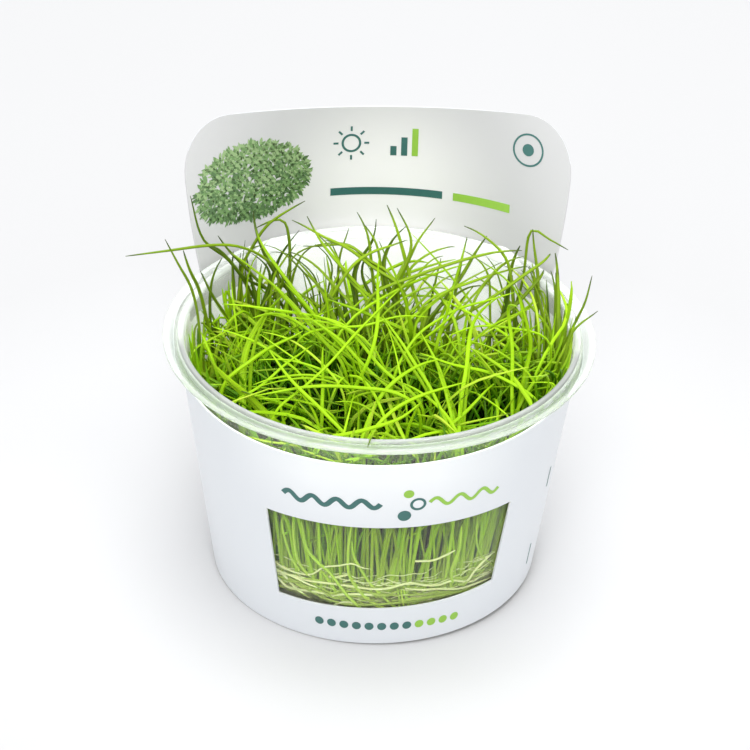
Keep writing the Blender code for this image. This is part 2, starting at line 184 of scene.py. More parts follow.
class Shader:
    """A Principled material, with short calls for the nodes that feed it.

    A value is a number, a (red, green, blue) colour or the output of another node.
    """

    def __init__(self, name, **inputs):
        self.material = bpy.data.materials.new(name)
        self.material.use_nodes = True
        self.nodes = self.material.node_tree.nodes
        self.links = self.material.node_tree.links
        self.principled = self.nodes["Principled BSDF"]
        for socket, value in inputs.items():
            self.give(socket, value)

    def feed(self, socket, value):
        """Link a socket, or set its number or colour."""
        if isinstance(value, bpy.types.NodeSocket):
            self.links.new(value, socket)
        elif socket.type == "RGBA":
            socket.default_value = (*value, 1.0)
        else:
            socket.default_value = value

    def give(self, socket, value):
        """Feed an input of the material itself, named with _ for its spaces."""
        self.feed(self.principled.inputs[socket.replace("_", " ")], value)

    def node(self, kind, values=(), **settings):
        """Add a node; values are (input, value) pairs."""
        made = self.nodes.new(kind)
        for setting, value in settings.items():
            setattr(made, setting, value)
        for socket, value in values:
            self.feed(made.inputs[socket], value)
        return made

    def math(self, operation, *values):
        """Return the output of a Math node."""
        return self.node("ShaderNodeMath", list(enumerate(values)), operation=operation).outputs[0]

    def product(self, first, *others):
        """Return the product of two or more values."""
        for other in others:
            first = self.math("MULTIPLY", first, other)
        return first

    def distance(self, x, y):
        """Return how far (x, y) lies from the middle."""
        return self.math("SQRT", self.math("ADD", self.product(x, x), self.product(y, y)))

    def rise(self, value, low, high, start=0.0, end=1.0, **settings):
        """Return a number that goes from start to end while a value goes from low to high."""
        values = [("Value", value), ("From Min", low), ("From Max", high),
                  ("To Min", start), ("To Max", end)]
        return self.node("ShaderNodeMapRange", values, **settings).outputs["Result"]

    def place(self):
        """Return the object's own coordinates."""
        return self.node("ShaderNodeTexCoord").outputs["Object"]

    def axes(self, vector):
        """Return the x, y and z of a vector."""
        parts = self.node("ShaderNodeSeparateXYZ", [("Vector", vector)])
        return [parts.outputs[axis] for axis in "XYZ"]

    def attribute(self, name):
        """Return a number that the mesh carries."""
        return self.node("ShaderNodeAttribute", attribute_name=name).outputs["Fac"]

    def mix(self, factor, low, high):
        """Return a colour between two colours."""
        made = self.node("ShaderNodeMix", data_type="RGBA")
        for socket, value in (("Factor", factor), ("A", low), ("B", high)):
            self.feed(made.inputs[socket], value)
        return next(out for out in made.outputs if out.type == "RGBA")

    def ramp(self, value, stops):
        """Return the colour that a ramp of (place, colour) stops gives to a value."""
        made = self.node("ShaderNodeValToRGB", [("Fac", value)])
        elements = made.color_ramp.elements
        while len(elements) < len(stops):
            elements.new(0.5)
        for element, (place, colour) in zip(elements, stops):
            element.position = place
            element.color = (*colour, 1.0)
        return made.outputs["Color"]

    def noise(self, scale, detail=3.0, roughness=0.5):
        """Return the height of a noise over the object's own coordinates."""
        values = [("Vector", self.place()), ("Scale", scale), ("Detail", detail), ("Roughness", roughness)]
        return self.node("ShaderNodeTexNoise", values).outputs["Fac"]

    def bump(self, height, strength, distance):
        """Feed a bump to the material's normal."""
        values = [("Height", height), ("Strength", strength), ("Distance", distance)]
        self.give("Normal", self.node("ShaderNodeBump", values).outputs["Normal"])


def clear_plastic():
    """Clear moulded plastic, a little wavy; its thin flange is milky, most of all along the inner lip."""
    shader = Shader("clear_plastic", Roughness=0.06, IOR=1.22)
    x, y, z = shader.axes(shader.place())
    across_rim = shader.rise(shader.distance(x, y), 0.045, 0.050)
    on_flange = shader.rise(z, 0.0596, 0.0606)
    in_front = shader.rise(y, 0.015, -0.015)
    zones = shader.ramp(across_rim, ((0.00, grey(0.32)), (0.25, grey(0.34)), (0.45, grey(0.07)),
                                     (0.62, grey(0.07)), (0.80, grey(0.24)), (1.00, grey(0.22))))
    # Painted light and shade on the front of the flange: pale at the lip and the outer edge, dark grey-green
    # between.
    painted_flange_light = shader.ramp(across_rim, (
        (0.00, (0.92, 0.95, 0.92)), (0.25, (0.89, 0.92, 0.89)), (0.45, (0.61, 0.67, 0.61)),
        (0.62, (0.63, 0.69, 0.63)), (0.80, (0.88, 0.91, 0.88)), (1.00, (0.76, 0.80, 0.76))))
    patchy = shader.math("MULTIPLY_ADD", shader.noise(110.0), 0.6, 0.7)
    clear = shader.rise(z, 0.0500, 0.0550, 0.97, 0.94)
    milky = shader.product(on_flange, zones, patchy)
    shader.give("Transmission Weight", shader.math("SUBTRACT", clear, milky))
    flange = shader.mix(in_front, (0.95, 0.98, 0.95), painted_flange_light)
    wall = shader.mix(in_front, (0.975, 0.985, 0.970), (0.950, 0.985, 0.840))
    shader.give("Base Color", shader.mix(on_flange, wall, flange))
    shader.bump(shader.noise(90.0, 2.0), 0.05, 0.0003)
    return shader.material


def paper_label():
    """White coated card, whose tall back has a pale grey print around a bare white field.

    It carries painted light: a painted highlight high on its front, a painted sheen that makes the
    middle of the grey print brighter, and a faint painted glow (emission) on its inner face behind the
    plants, standing in for light through the thin card.
    """
    # The emission strength gives the painted glow of the inner face, set by the mask below.
    shader = Shader("coated_label", Roughness=0.33, Specular_IOR_Level=0.5, Emission_Strength=0.12,
                    Subsurface_Weight=0.3, Subsurface_Scale=0.0004, Subsurface_Radius=(1.0, 1.0, 1.0))
    x, y, z = shader.axes(shader.place())
    normal_x, normal_y, _ = shader.axes(shader.node("ShaderNodeNewGeometry").outputs["Normal"])
    outward = shader.math("ADD", shader.product(normal_x, x), shader.product(normal_y, y))
    inward = shader.math("LESS_THAN", outward, 0.0)
    faces_front = shader.math("LESS_THAN", normal_y, -0.2)
    on_back = shader.math("GREATER_THAN", y, 0.012)
    on_card = shader.math("GREATER_THAN", z, 0.0520)

    corner, half_width, middle, top, bow = 0.0045, 0.0318, 0.0012, 0.0581, 3.6
    off_middle = shader.math("ABSOLUTE", shader.math("SUBTRACT", x, middle))
    field_top = shader.math("MULTIPLY_ADD", shader.product(x, x), bow, top - corner)
    beside = shader.math("MAXIMUM", shader.math("SUBTRACT", off_middle, half_width - corner), 0.0)
    above = shader.math("MAXIMUM", shader.math("SUBTRACT", z, field_top), 0.0)
    outside_field = shader.math("GREATER_THAN", shader.distance(beside, above), corner)
    printed = shader.product(outside_field, faces_front, on_back, on_card)

    mottle = shader.math("MULTIPLY_ADD", shader.noise(700.0, 4.0), 0.03, 0.485)
    outside = shader.mix(mottle, (0.69, 0.712, 0.738), (0.72, 0.742, 0.768))
    # Painted highlight: the outside is painted lighter high on the front, near the middle.
    near_middle = shader.rise(shader.math("ABSOLUTE", x), 0.034, 0.014)
    bright = shader.product(shader.rise(z, 0.034, 0.050), near_middle, faces_front)
    outside = shader.mix(bright, outside, (0.84, 0.855, 0.865))
    white = shader.mix(inward, outside, (0.98, 0.985, 0.98))
    # Painted sheen: a round patch in the middle of the grey print is painted much lighter.
    from_painted_sheen = shader.distance(x, shader.math("SUBTRACT", z, 0.0690))
    painted_sheen = shader.rise(from_painted_sheen, 0.004, 0.034, 1.0, 0.0, interpolation_type="SMOOTHSTEP")
    print_grey = shader.mix(painted_sheen, (0.545, 0.543, 0.545), (0.90, 0.885, 0.880))
    shader.give("Base Color", shader.mix(printed, white, print_grey))
    # Painted glow: the inner face behind the plants emits a little white light, standing in for light
    # through the thin card.
    painted_glow = shader.product(inward, shader.rise(z, 0.028, 0.044), on_back,
                                 shader.math("SUBTRACT", 1.0, printed))
    shader.give("Emission Color", shader.mix(painted_glow, grey(0.0), (1.0, 1.0, 0.99)))
    shader.bump(shader.noise(1500.0, 4.0), 0.04, 0.0001)
    return shader.material


def mottled(name, scale, low, high, **inputs):
    """Return a material whose colour wanders between two colours."""
    shader = Shader(name, **inputs)
    shader.give("Base Color", shader.mix(shader.noise(scale), low, high))
    return shader.material


def ink(name, colour):
    """Satin printing ink."""
    return mottled(name, 900.0, tuple(0.85 * channel for channel in colour), colour, Roughness=0.35)


def gel_material():
    """Cloudy nutrient gel."""
    return mottled("nutrient_gel", 120.0, (0.72, 0.74, 0.56), (0.88, 0.88, 0.74),
                   Transmission_Weight=0.7, Roughness=0.35, IOR=1.34)


def root_material():
    """Cream white roots."""
    return mottled("white_root", 300.0, (0.66, 0.72, 0.30), (0.90, 0.92, 0.66),
                   Roughness=0.4, Subsurface_Weight=0.1, Subsurface_Scale=0.001)


def mat_material():
    """Felt of roots and runners: pale threads over olive brown."""
    shader = Shader("root_felt", Roughness=0.55)
    fine = shader.noise(900.0, 5.0, 0.65)
    threads = shader.product(fine, shader.noise(160.0))
    shader.give("Base Color", shader.ramp(threads, ((0.12, (0.05, 0.07, 0.012)), (0.25, (0.18, 0.22, 0.04)),
                                                    (0.36, (0.62, 0.62, 0.34)))))
    shader.bump(fine, 0.8, 0.0008)
    return shader.material


def culm_material():
    """Living culms: each has its own tone, pale at its foot and darker at its tip, with painted shade deep
    in the mass.
    """
    shader = Shader("spikerush_culm", Roughness=0.42, Specular_IOR_Level=0.10, Subsurface_Weight=0.10,
                    Subsurface_Scale=0.001, Subsurface_Radius=(0.5, 1.0, 0.1))
    along = shader.attribute("along")
    # The depth attribute holds painted shade: deep in the mass, and under the rim on the front wall culms.
    depth = shader.attribute("depth")
    spread = shader.math("MULTIPLY_ADD", shader.noise(260.0), 0.14, -0.07)
    base = shader.ramp(shader.math("ADD", shader.attribute("tone"), spread), (
        (0.00, (0.042, 0.100, 0.004)), (0.22, (0.125, 0.205, 0.012)), (0.45, (0.248, 0.392, 0.014)),
        (0.68, (0.285, 0.505, 0.006)), (0.88, (0.385, 0.685, 0.010)), (1.00, (0.560, 0.520, 0.090))))
    body = shader.mix(shader.rise(along, 0.02, 0.34, 0.55, 0.0), base, (0.50, 0.62, 0.17))
    tipped = shader.mix(shader.rise(along, 0.94, 0.985, 0.0, 0.85), body, (0.050, 0.070, 0.026))
    # Painted shade: culms turn dark green half-way into the shade and nearly black deepest in it.
    half_shade = shader.math("MINIMUM", shader.product(depth, 2.0), 1.0)
    full_shade = shader.math("MAXIMUM", shader.math("MULTIPLY_ADD", depth, 2.0, -1.0), 0.0)
    deep_green = shader.mix(half_shade, tipped, (0.070, 0.240, 0.001))
    shader.give("Base Color", shader.mix(full_shade, deep_green, (0.001, 0.013, 0.001)))
    shader.bump(shader.noise(1400.0, 2.0), 0.25, 0.0002)
    return shader.material


def floor_material():
    """Plain pale floor, with painted light and shade: palest around the cup and a little darker away from
    it, most of all in front.
    """
    shader = Shader("pale_floor", Roughness=0.7)
    x, y, _ = shader.axes(shader.place())
    # Painted light and shade: darker in front and far away, palest around the cup.
    painted_falloff = shader.mix(shader.rise(y, -0.25, 0.35), (0.484, 0.482, 0.484), (0.566, 0.564, 0.566))
    paper = shader.mix(shader.rise(shader.distance(x, y), 0.06, 0.15), (0.596, 0.595, 0.599), painted_falloff)
    shader.give("Base Color", shader.mix(shader.product(shader.noise(6.0), 0.02), paper, grey(1.0)))
    return shader.material


# Camera, light and floor


def add_object(name, data):
    """Return a new object that is linked to the scene."""
    made = bpy.data.objects.new(name, data)
    bpy.context.scene.collection.objects.link(made)
    return made


def new_mesh(name, verts, faces):
    """Return a mesh of vertices and faces."""
    mesh = bpy.data.meshes.new(name)
    mesh.from_pydata(verts, [], faces)
    return mesh


def set_camera():
    """Place the camera where the photograph was taken."""
    data = bpy.data.cameras.new("photo_camera")
    data.sensor_width = SENSOR
    data.lens = LENS
    data.clip_start = 0.01
    camera = add_object("photo_camera", data)
    camera.matrix_world = Matrix.Translation(CAMERA_PLACE) @ CAMERA_TURN.to_4x4()
    bpy.context.scene.camera = camera


def add_light(name, place, target, size, power):
    """Add a square soft light that faces a target."""
    data = bpy.data.lights.new(name, "AREA")
    data.shape = "SQUARE"
    data.size = size
    data.energy = power
    lamp = add_object(name, data)
    lamp.location = place
    lamp.rotation_euler = (Vector(target) - Vector(place)).to_track_quat("-Z", "Y").to_euler()


def set_light():
    """Make the soft white studio light: a white room, one large light above and a smaller one in front."""
    world = bpy.data.worlds.new("white_room")
    world.use_nodes = True
    background = world.node_tree.nodes["Background"]
    background.inputs["Color"].default_value = (0.97, 0.985, 1.0, 1.0)
    background.inputs["Strength"].default_value = 1.00
    bpy.context.scene.world = world
    add_light("top_softbox", (0.05, 0.05, 1.00), (0.0, 0.0, 0.0), 0.80, 7.4)
    add_light("front_softbox", (-0.05, -0.90, 0.90), (0.0, 0.0, 0.05), 0.50, 4.8)
    view = bpy.context.scene.view_settings
    view.view_transform = "Standard"
    view.look = "None"
    view.exposure = 0.0


def lay_floor():
    """Lay a large plain floor under the cup."""
    half = 3.0
    corners = [(-half, -half, 0.0), (half, -half, 0.0), (half, half, 0.0), (-half, half, 0.0)]
    mesh = new_mesh("floor", corners, [(0, 1, 2, 3)])
    mesh.materials.append(floor_material())
    add_object("floor", mesh)


# Pieces


def add_piece(name, mesh, material, nodes=()):
    """Link a mesh as a piece that rides on the part, and hide the CAD nodes that it replaces."""
    mesh.materials.append(material)
    mesh.shade_smooth()
    mesh.set_sharp_from_angle(angle=math.radians(SHARP_ANGLE))
    piece = add_object(name, mesh)
    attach(piece, "root")
    if nodes:
        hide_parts(*nodes)
    return piece


def cup_profile():
    """Return the cup's (radius, z) profile, from its inside centre over its rim to its outside centre."""
    inner_foot = wall_inside(0.0) - FLOOR_CORNER
    outer_foot = wall_inside(0.0) + WALL
    lip_inner = wall_inside(FLANGE_Z)
    lip_middle = lip_inner + 0.5 * LIP_WIDTH
    lip_rise = RIM_TOP - FLANGE_Z
    flange_under = FLANGE_Z - FLANGE_THICKNESS
    wall_under = wall_inside(flange_under) + WALL
    half_turn = [math.radians(turn) for turn in range(0, 181, 30)]
    profile = [(0.0, FLOOR_THICKNESS), (inner_foot, FLOOR_THICKNESS)]
    profile += [(inner_foot + FLOOR_CORNER_WIDTH * math.sin(turn),
                 FLOOR_THICKNESS + FLOOR_CORNER * (1.0 - math.cos(turn))) for turn in (0.5, 1.0)]
    profile += [(wall_inside(z), z) for z in INNER_HEIGHTS]
    profile += [(lip_inner, FLANGE_Z)]
    profile += [(lip_middle - LIP_ROUND * LIP_WIDTH * math.cos(turn),
                 FLANGE_Z + lip_rise * (LIP_SHOULDER + (1.0 - LIP_SHOULDER) * math.sin(turn)))
                for turn in half_turn]
    profile += [(lip_inner + LIP_WIDTH + SMALL_STEP, FLANGE_Z)]
    profile += [(RIM_RADIUS - EDGE_FALL_WIDTH, FLANGE_Z - EDGE_FALL)]
    profile += [(RIM_RADIUS - FLANGE_EDGE * (1.0 - math.sin(turn)),
                 FLANGE_Z - FLANGE_EDGE * (1.0 - math.cos(turn))) for turn in half_turn]
    profile += [(wall_under + SMALL_STEP, flange_under), (wall_under, flange_under - SMALL_STEP)]
    profile += [(wall_inside(z) + WALL, z) for z in OUTER_HEIGHTS]
    profile += [(outer_foot - BASE_CORNER_RISE, BASE_CORNER_RISE), (outer_foot - BASE_CORNER, 0.0)]
    profile += [(0.0, 0.0)]
    return profile


def turned_mesh(name, profile, steps):
    """Turn a profile that starts and ends on the axis into a closed mesh."""
    rim = profile[1:-1]
    verts = [around(360.0 * step / steps, radius, z) for radius, z in rim for step in range(steps)]
    first, last = len(verts), len(verts) + 1
    verts += [Vector((0.0, 0.0, profile[0][1])), Vector((0.0, 0.0, profile[-1][1]))]
    faces = []
    for row in range(len(rim) - 1):
        for step in range(steps):
            following = (step + 1) % steps
            faces.append((row * steps + step, (row + 1) * steps + step,
                          (row + 1) * steps + following, row * steps + following))
    final = (len(rim) - 1) * steps
    for step in range(steps):
        following = (step + 1) % steps
        faces.append((first, step, following))
        faces.append((last, final + following, final + step))
    return new_mesh(name, verts, faces)


def smoothstep(value, low, high):
    """Ease from 0 at low to 1 at high."""
    share = min(max((value - low) / (high - low), 0.0), 1.0)
    return share * share * (3.0 - 2.0 * share)


def sheet_radius(azimuth, z):
    """Return the radius of the sleeve's inner side: on the cup, or flared out at the back."""
    on_cup = wall_inside(z) + WALL + GAP
    foot = BASE_RADIUS + GAP
    flared = foot + (CARD_FOOT_RADIUS - foot) * z / CARD_FOOT_Z
    from_card = abs((azimuth - CARD_TURN) % 360.0 - 180.0)
    return on_cup + (flared - on_cup) * (1.0 - smoothstep(from_card, FLARE_FULL, FLARE_NONE))


def on_sheet(azimuth, z):
    """Return a point of the sleeve's inner side."""
    return around(azimuth, sheet_radius(azimuth, z), z)


def skewed(azimuth, z):
    """Return a point of the sleeve at a height that its skew shifts."""
    flat = on_sheet(azimuth, z)
    return on_sheet(azimuth, z + SLEEVE_SKEW_X * flat.x + SLEEVE_SKEW_Y * flat.y)


def card_point(side, height):
    """Return a point of the card: side is measured along its foot, height above its foot."""
    share = min(height / (CARD_TOP_Z - CARD_FOOT_Z), 1.0)
    bend = 1.0 / CARD_FOOT_RADIUS + (1.0 / CARD_TOP_BEND - 1.0 / CARD_FOOT_RADIUS) * share
    narrowed = CARD_OFFSET + (side - CARD_OFFSET) * (1.0 - CARD_NARROWING * height / CARD_HALF_WIDTH)
    x = math.sin(narrowed * bend) / bend
    y = CARD_FOOT_RADIUS + CARD_LEAN * height - (1.0 - math.cos(narrowed * bend)) / bend
    turned = Matrix.Rotation(math.radians(CARD_TURN), 2) @ Vector((x, y))
    return Vector((turned.x, turned.y, CARD_FOOT_Z + height))


def card_columns():
    """Return (side, top height) of the card's columns, from its right edge to its left edge."""
    rise = CARD_TOP_Z - CARD_FOOT_Z
    corner = [0.5 * math.pi * step / CORNER_COLUMNS for step in range(CORNER_COLUMNS + 1)]
    ends = [(CARD_CORNER * (1.0 - math.cos(angle)), rise - CARD_CORNER * (1.0 - math.sin(angle)))
            for angle in corner]
    right = [(CARD_OFFSET + CARD_HALF_WIDTH - inset, top) for inset, top in ends]
    left = [(CARD_OFFSET - CARD_HALF_WIDTH + inset, top) for inset, top in reversed(ends)]
    start, stop = right[-1][0], left[0][0]
    middle = [(start + (stop - start) * step / CARD_COLUMNS, rise) for step in range(1, CARD_COLUMNS)]
    return right + middle + left


def window_edges(share):
    """Return the window's lower and upper (azimuth, z) points at a share from its left to its right."""
    across = 2.0 * share - 1.0
    lower = (WINDOW_MIDDLE + across * WINDOW_HALF_BOTTOM,
             WINDOW_BOTTOM_Z + 0.5 * WINDOW_BOTTOM_RISE * across)
    upper = (WINDOW_MIDDLE + across * WINDOW_HALF_TOP, WINDOW_TOP_Z - WINDOW_TOP_SAG * across * across)
    return lower, upper


def sleeve_columns():
    """Return the sheet's columns round the cup, each a list of points and whether the window follows it."""
    columns = []
    for step in range(WINDOW_COLUMNS + 1):
        lower, upper = window_edges(step / WINDOW_COLUMNS)
        middle = 0.5 * (lower[0] + upper[0])
        points = [skewed(middle, SLEEVE_BOTTOM_Z), on_sheet(*lower), on_sheet(*upper),
                  skewed(middle, SLEEVE_TOP_Z)]
        columns.append((points, step < WINDOW_COLUMNS))

    def add_plain(azimuth, card=None, notch=0.0):
        lower, upper = window_edges(1.0 if azimuth < 180.0 else 0.0)
        points = [skewed(azimuth, SLEEVE_BOTTOM_Z), on_sheet(azimuth, lower[1]), on_sheet(azimuth, upper[1]),
                  skewed(azimuth, SLEEVE_TOP_Z + notch)]
        if card is not None:
            points += [card_point(card[0], card[1] * row / CARD_ROWS) for row in range(CARD_ROWS + 1)]
        columns.append((points, False))

    card = card_columns()
    back = 180.0 + CARD_TURN
    right_edge = back - math.degrees(card[0][0] / CARD_FOOT_RADIUS)
    left_edge = back - math.degrees(card[-1][0] / CARD_FOOT_RADIUS)
    start = WINDOW_MIDDLE + 0.5 * (WINDOW_HALF_BOTTOM + WINDOW_HALF_TOP)
    for step in range(1, SIDE_COLUMNS):
        add_plain(start + (right_edge - start) * step / SIDE_COLUMNS)
    for side, top in card:
        azimuth = back - math.degrees(side / CARD_FOOT_RADIUS)
        add_plain(azimuth, (side, top), CARD_NOTCH if azimuth in (right_edge, left_edge) else 0.0)
    stop = 360.0 + WINDOW_MIDDLE - 0.5 * (WINDOW_HALF_BOTTOM + WINDOW_HALF_TOP)
    for step in range(1, SIDE_COLUMNS):
        add_plain(left_edge + (stop - left_edge) * step / SIDE_COLUMNS)
    return columns


def build_sleeve():
    """Make the sleeve, with its window and tall card, as one smooth sheet in place of the faceted one."""
    columns = sleeve_columns()
    verts, starts = [], []
    for points, _ in columns:
        starts.append(len(verts))
        verts += points
    faces = []
    for index, (points, is_open) in enumerate(columns):
        here, following = starts[index], starts[(index + 1) % len(columns)]
        rows = min(len(points), len(columns[(index + 1) % len(columns)][0])) - 1
        faces += [(here + row, following + row, following + row + 1, here + row + 1)
                  for row in range(rows) if not (row == WINDOW_ROW and is_open)]
    mesh = new_mesh("smooth_sleeve", verts, faces)
    piece = add_piece("smooth_sleeve", mesh, paper_label(), ["label_sleeve"])
    solidify = piece.modifiers.new("sheet", "SOLIDIFY")
    solidify.thickness = SHEET
    solidify.offset = 1.0
    solidify.use_even_offset = True
    solid = bpy.data.meshes.new_from_object(piece.evaluated_get(bpy.context.evaluated_depsgraph_get()))
    piece.modifiers.clear()
    piece.data = solid
    solid.shade_smooth()
    solid.set_sharp_from_angle(angle=math.radians(SHEET_SHARP_ANGLE))
    return piece


def build_cup():
    """Make the clear cup with its rounded rim in place of the faceted one."""
    mesh = turned_mesh("clear_cup", cup_profile(), CUP_STEPS)
    cup = add_piece("clear_cup", mesh, clear_plastic(), ["cup"])
    cup.visible_shadow = False


def dress_cad_nodes():
    """Give the CAD nodes that stay their finish."""
    for node, material in (("nutrient_gel", gel_material()), ("root_mat", mat_material())):
        thing = bpy.data.objects[node]
        for slot in thing.material_slots:
            slot.material = material


# Culms: how one is shaped
TAPERED_SHARE = 0.18
TAPER_POWER = 0.6
TIP_GIRTH = 0.20
RANDOM_POINTS = 18
CURVE_STEPS = 12
LONGEST_CULM = 0.092
DROOP = 0.35


def culm_tubes(name, paths, radii, tones, ends, flatness, sides=5, painted_shades=0.0):
    """Sweep tapered tubes along paths (culms, points, 3) and join them as one mesh.

    Each culm's section keeps one axis across the plane that the culm bends in. The mesh carries each
    culm's tone, the distance along it and the painted shade of each point, named depth, as attributes. A
    culm whose end is 1 has a dark tip.
    """
    paths = np.asarray(paths, dtype=float)
    culms, count, _ = paths.shape
    radii, tones, ends, flatness = (np.broadcast_to(values, culms)
                                    for values in (radii, tones, ends, flatness))
    centred = paths - paths.mean(axis=1, keepdims=True)
    _, axes = np.linalg.eigh(np.einsum("cni,cnj->cij", centred, centred))
    across = axes[:, :, 0][:, None, :]
    tangent = np.gradient(paths, axis=1)
    tangent /= np.linalg.norm(tangent, axis=2, keepdims=True)
    across = across - (across * tangent).sum(axis=2, keepdims=True) * tangent
    across /= np.linalg.norm(across, axis=2, keepdims=True)
    upright = np.cross(tangent, across)
    share = np.linspace(0.0, 1.0, count)
    taper = np.clip((1.0 - share) / TAPERED_SHARE, 0.0, 1.0) ** TAPER_POWER
    girth = radii[:, None] * (TIP_GIRTH + (1.0 - TIP_GIRTH) * taper)[None, :]
    angles = math.tau * np.arange(sides) / sides
    ring = (np.cos(angles)[None, None, :, None] * across[:, :, None, :]
            + np.sin(angles)[None, None, :, None] * upright[:, :, None, :] / flatness[:, None, None, None])
    verts = (paths[:, :, None, :] + girth[:, :, None, None] * ring).reshape(-1, 3)
    index = np.arange(culms * count * sides).reshape(culms, count, sides)
    turned = np.roll(index, -1, axis=2)
    walls = np.stack([index[:, :-1], turned[:, :-1], turned[:, 1:], index[:, 1:]], axis=-1).reshape(-1, 4)
    faces = walls.tolist() + index[:, 0, ::-1].tolist() + index[:, -1].tolist()
    mesh = new_mesh(name, verts.tolist(), faces)
    carried = {"tone": tones[:, None], "along": ends[:, None] * share[None, :], "depth": painted_shades}
    for attribute, values in carried.items():
        layer = mesh.attributes.new(attribute, "FLOAT", "POINT")
        values = np.broadcast_to(values, (culms, count)).reshape(-1)
        layer.data.foreach_set("value", np.repeat(values, sides).astype(np.float32))
    return mesh


def smooth_path(points, count):
    """Return count points, evenly spaced, on a Catmull-Rom curve through given points."""
    knots = np.array([2.0 * points[0] - points[1], *points, 2.0 * points[-1] - points[-2]], dtype=float)
    dense = []
    for a, b, c, d in zip(knots, knots[1:], knots[2:], knots[3:]):
        for t in np.linspace(0.0, 1.0, CURVE_STEPS, endpoint=False):
            dense.append(0.5 * (2.0 * b + (c - a) * t + (2.0 * a - 5.0 * b + 4.0 * c - d) * t * t
                                + (3.0 * b - a - 3.0 * c + d) * t ** 3))
    dense = np.array(dense + [knots[-2]])
    gaps = np.concatenate([[0.0], np.cumsum(np.linalg.norm(np.diff(dense, axis=0), axis=1))])
    wanted = np.linspace(0.0, gaps[-1], count)
    return np.stack([np.interp(wanted, gaps, dense[:, axis]) for axis in range(3)], axis=1)


# How culms keep off the cup's wall and rim, and how far they may reach out above it
WALL_CLEARANCE = 0.0007
RIM_CLEARANCE = 0.0010
SPREAD_ABOVE_RIM = 0.10
SOFT_SHARE = 0.06


def kept_inside(paths):
    """Bend paths that would pass through the cup's wall, its rim or the card back inside."""
    z = paths[:, :, 2]
    radius = np.maximum(np.hypot(paths[:, :, 0], paths[:, :, 1]), 1e-9)
    limit = (wall_inside(np.minimum(z, RIM_TOP + RIM_CLEARANCE)) - WALL_CLEARANCE
             + SPREAD_ABOVE_RIM * np.maximum(z - RIM_TOP, 0.0))
    soft = SOFT_SHARE * limit
    over = np.maximum(radius - (limit - soft), 0.0)
    eased = np.where(over > 0.0, limit - soft * np.exp(-over / soft), radius)
    paths[:, :, :2] *= (eased / radius)[:, :, None]
    return paths


def grown_culms(draw, feet, azimuths, peaks, leans, bends, starts, spans, twists):
    """Return the paths of culms that rise from their feet, bend over and go on nearly straight."""
    share = np.linspace(0.0, 1.0, RANDOM_POINTS)[None, :]
    eased = np.clip((share - starts[:, None]) / spans[:, None], 0.0, 1.0)
    eased = eased * eased * (3.0 - 2.0 * eased)
    droop = DROOP * np.clip(share - starts[:, None] - 0.5 * spans[:, None], 0.0, 1.0)
    tilt = np.radians(leans[:, None] + (bends - leans)[:, None] * (eased + droop))
    heading = np.radians(azimuths[:, None] + twists[:, None] * share)
    step = np.stack([np.sin(tilt) * np.sin(heading), -np.sin(tilt) * np.cos(heading), np.cos(tilt)], axis=-1)
    unit = np.cumsum(step, axis=1) - step
    unit /= RANDOM_POINTS - 1
    tallest = unit[:, :, 2].max(axis=1)
    length = np.minimum((peaks - feet[:, 2]) / tallest, LONGEST_CULM * draw.uniform(0.8, 1.0, len(feet)))
    paths = feet[:, None, :] + unit * length[:, None, None]
    widening = wall_inside(np.minimum(paths[:, :, 2], RIM_TOP)) / wall_inside(feet[:, 2])[:, None]
    paths[:, :, :2] += feet[:, None, :2] * (widening - 1.0)[:, :, None]
    return kept_inside(paths)


def tuft_feet():
    """Return the foot of every CAD tuft as (name, x, y), read from the lowest points of its node."""
    feet = []
    for name in sorted(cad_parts):
        if name.startswith("culm_tuft_"):
            mesh = bpy.data.objects[name].data
            points = np.array([vertex.co for vertex in mesh.vertices])
            low = points[points[:, 2] < points[:, 2].min() + 0.0002]
            feet.append((name, *(0.5 * (low.min(axis=0) + low.max(axis=0)))[:2]))
    return feet


# Dark hollows in the top of the mass, and its open places at the back and the left: x, y, radius and depth
HOLLOWS = ((-0.0210, -0.0310, 0.0100, 0.024), (-0.0290, -0.0160, 0.0070, 0.014),
           (-0.0030, -0.0060, 0.0070, 0.010), (0.0060, 0.0120, 0.0060, 0.010),
           (0.0200, -0.0100, 0.0060, 0.010), (-0.0180, 0.0020, 0.0080, 0.011),
           (0.0060, -0.0350, 0.0060, 0.010), (0.0290, -0.0240, 0.0060, 0.010))
CLEARING = ((0.0220, 0.0200, 0.0110, 0.026), (-0.0160, 0.0330, 0.0070, 0.010),
            (-0.0380, 0.0060, 0.0090, 0.016))

# How high the mass stands, and how far and over which length its top falls or rises towards its edges
MASS_TOP_Z = 0.0625
FRONT_FALL, FRONT_LENGTH = 0.0045, 0.040
BACK_FALL, BACK_START, BACK_LENGTH = 0.0185, 0.004, 0.034
SIDE_RISE, SIDE_START, SIDE_LENGTH = 0.0030, 0.018, 0.022

# How dark the painted shade makes the mass below its top, and how near the wall it stays light
SHADE_START = 0.002
SHADE_DEPTH = 0.0180
SHADE_POWER = 1.3
LIT_DEPTH = 0.011
SHADE_AT_WALL = 0.15

# Plantlets
INNER_CULMS = 40
WALL_CULMS = 14
TALL_SHARE = 0.06
ARCHING_SHARE = 0.55
TUFT_RADIUS = 0.0055
TUFT_TURN = 9.8
FOOT_DEPTH = 0.001
WALL_FOOT_DEPTH = 0.002
WALL_INSET = 0.0006
WALL_INSET_SPREAD = 0.0018
TALL_RISE = (0.001, 0.009)
LOWEST_TIP = 0.018
LOWEST_WALL_TIP = 0.014
RINGS = (("plantlets_outer", 0.029, 1.0), ("plantlets_middle", 0.018, 0.029),
         ("plantlets_inner", 0.0, 0.018))

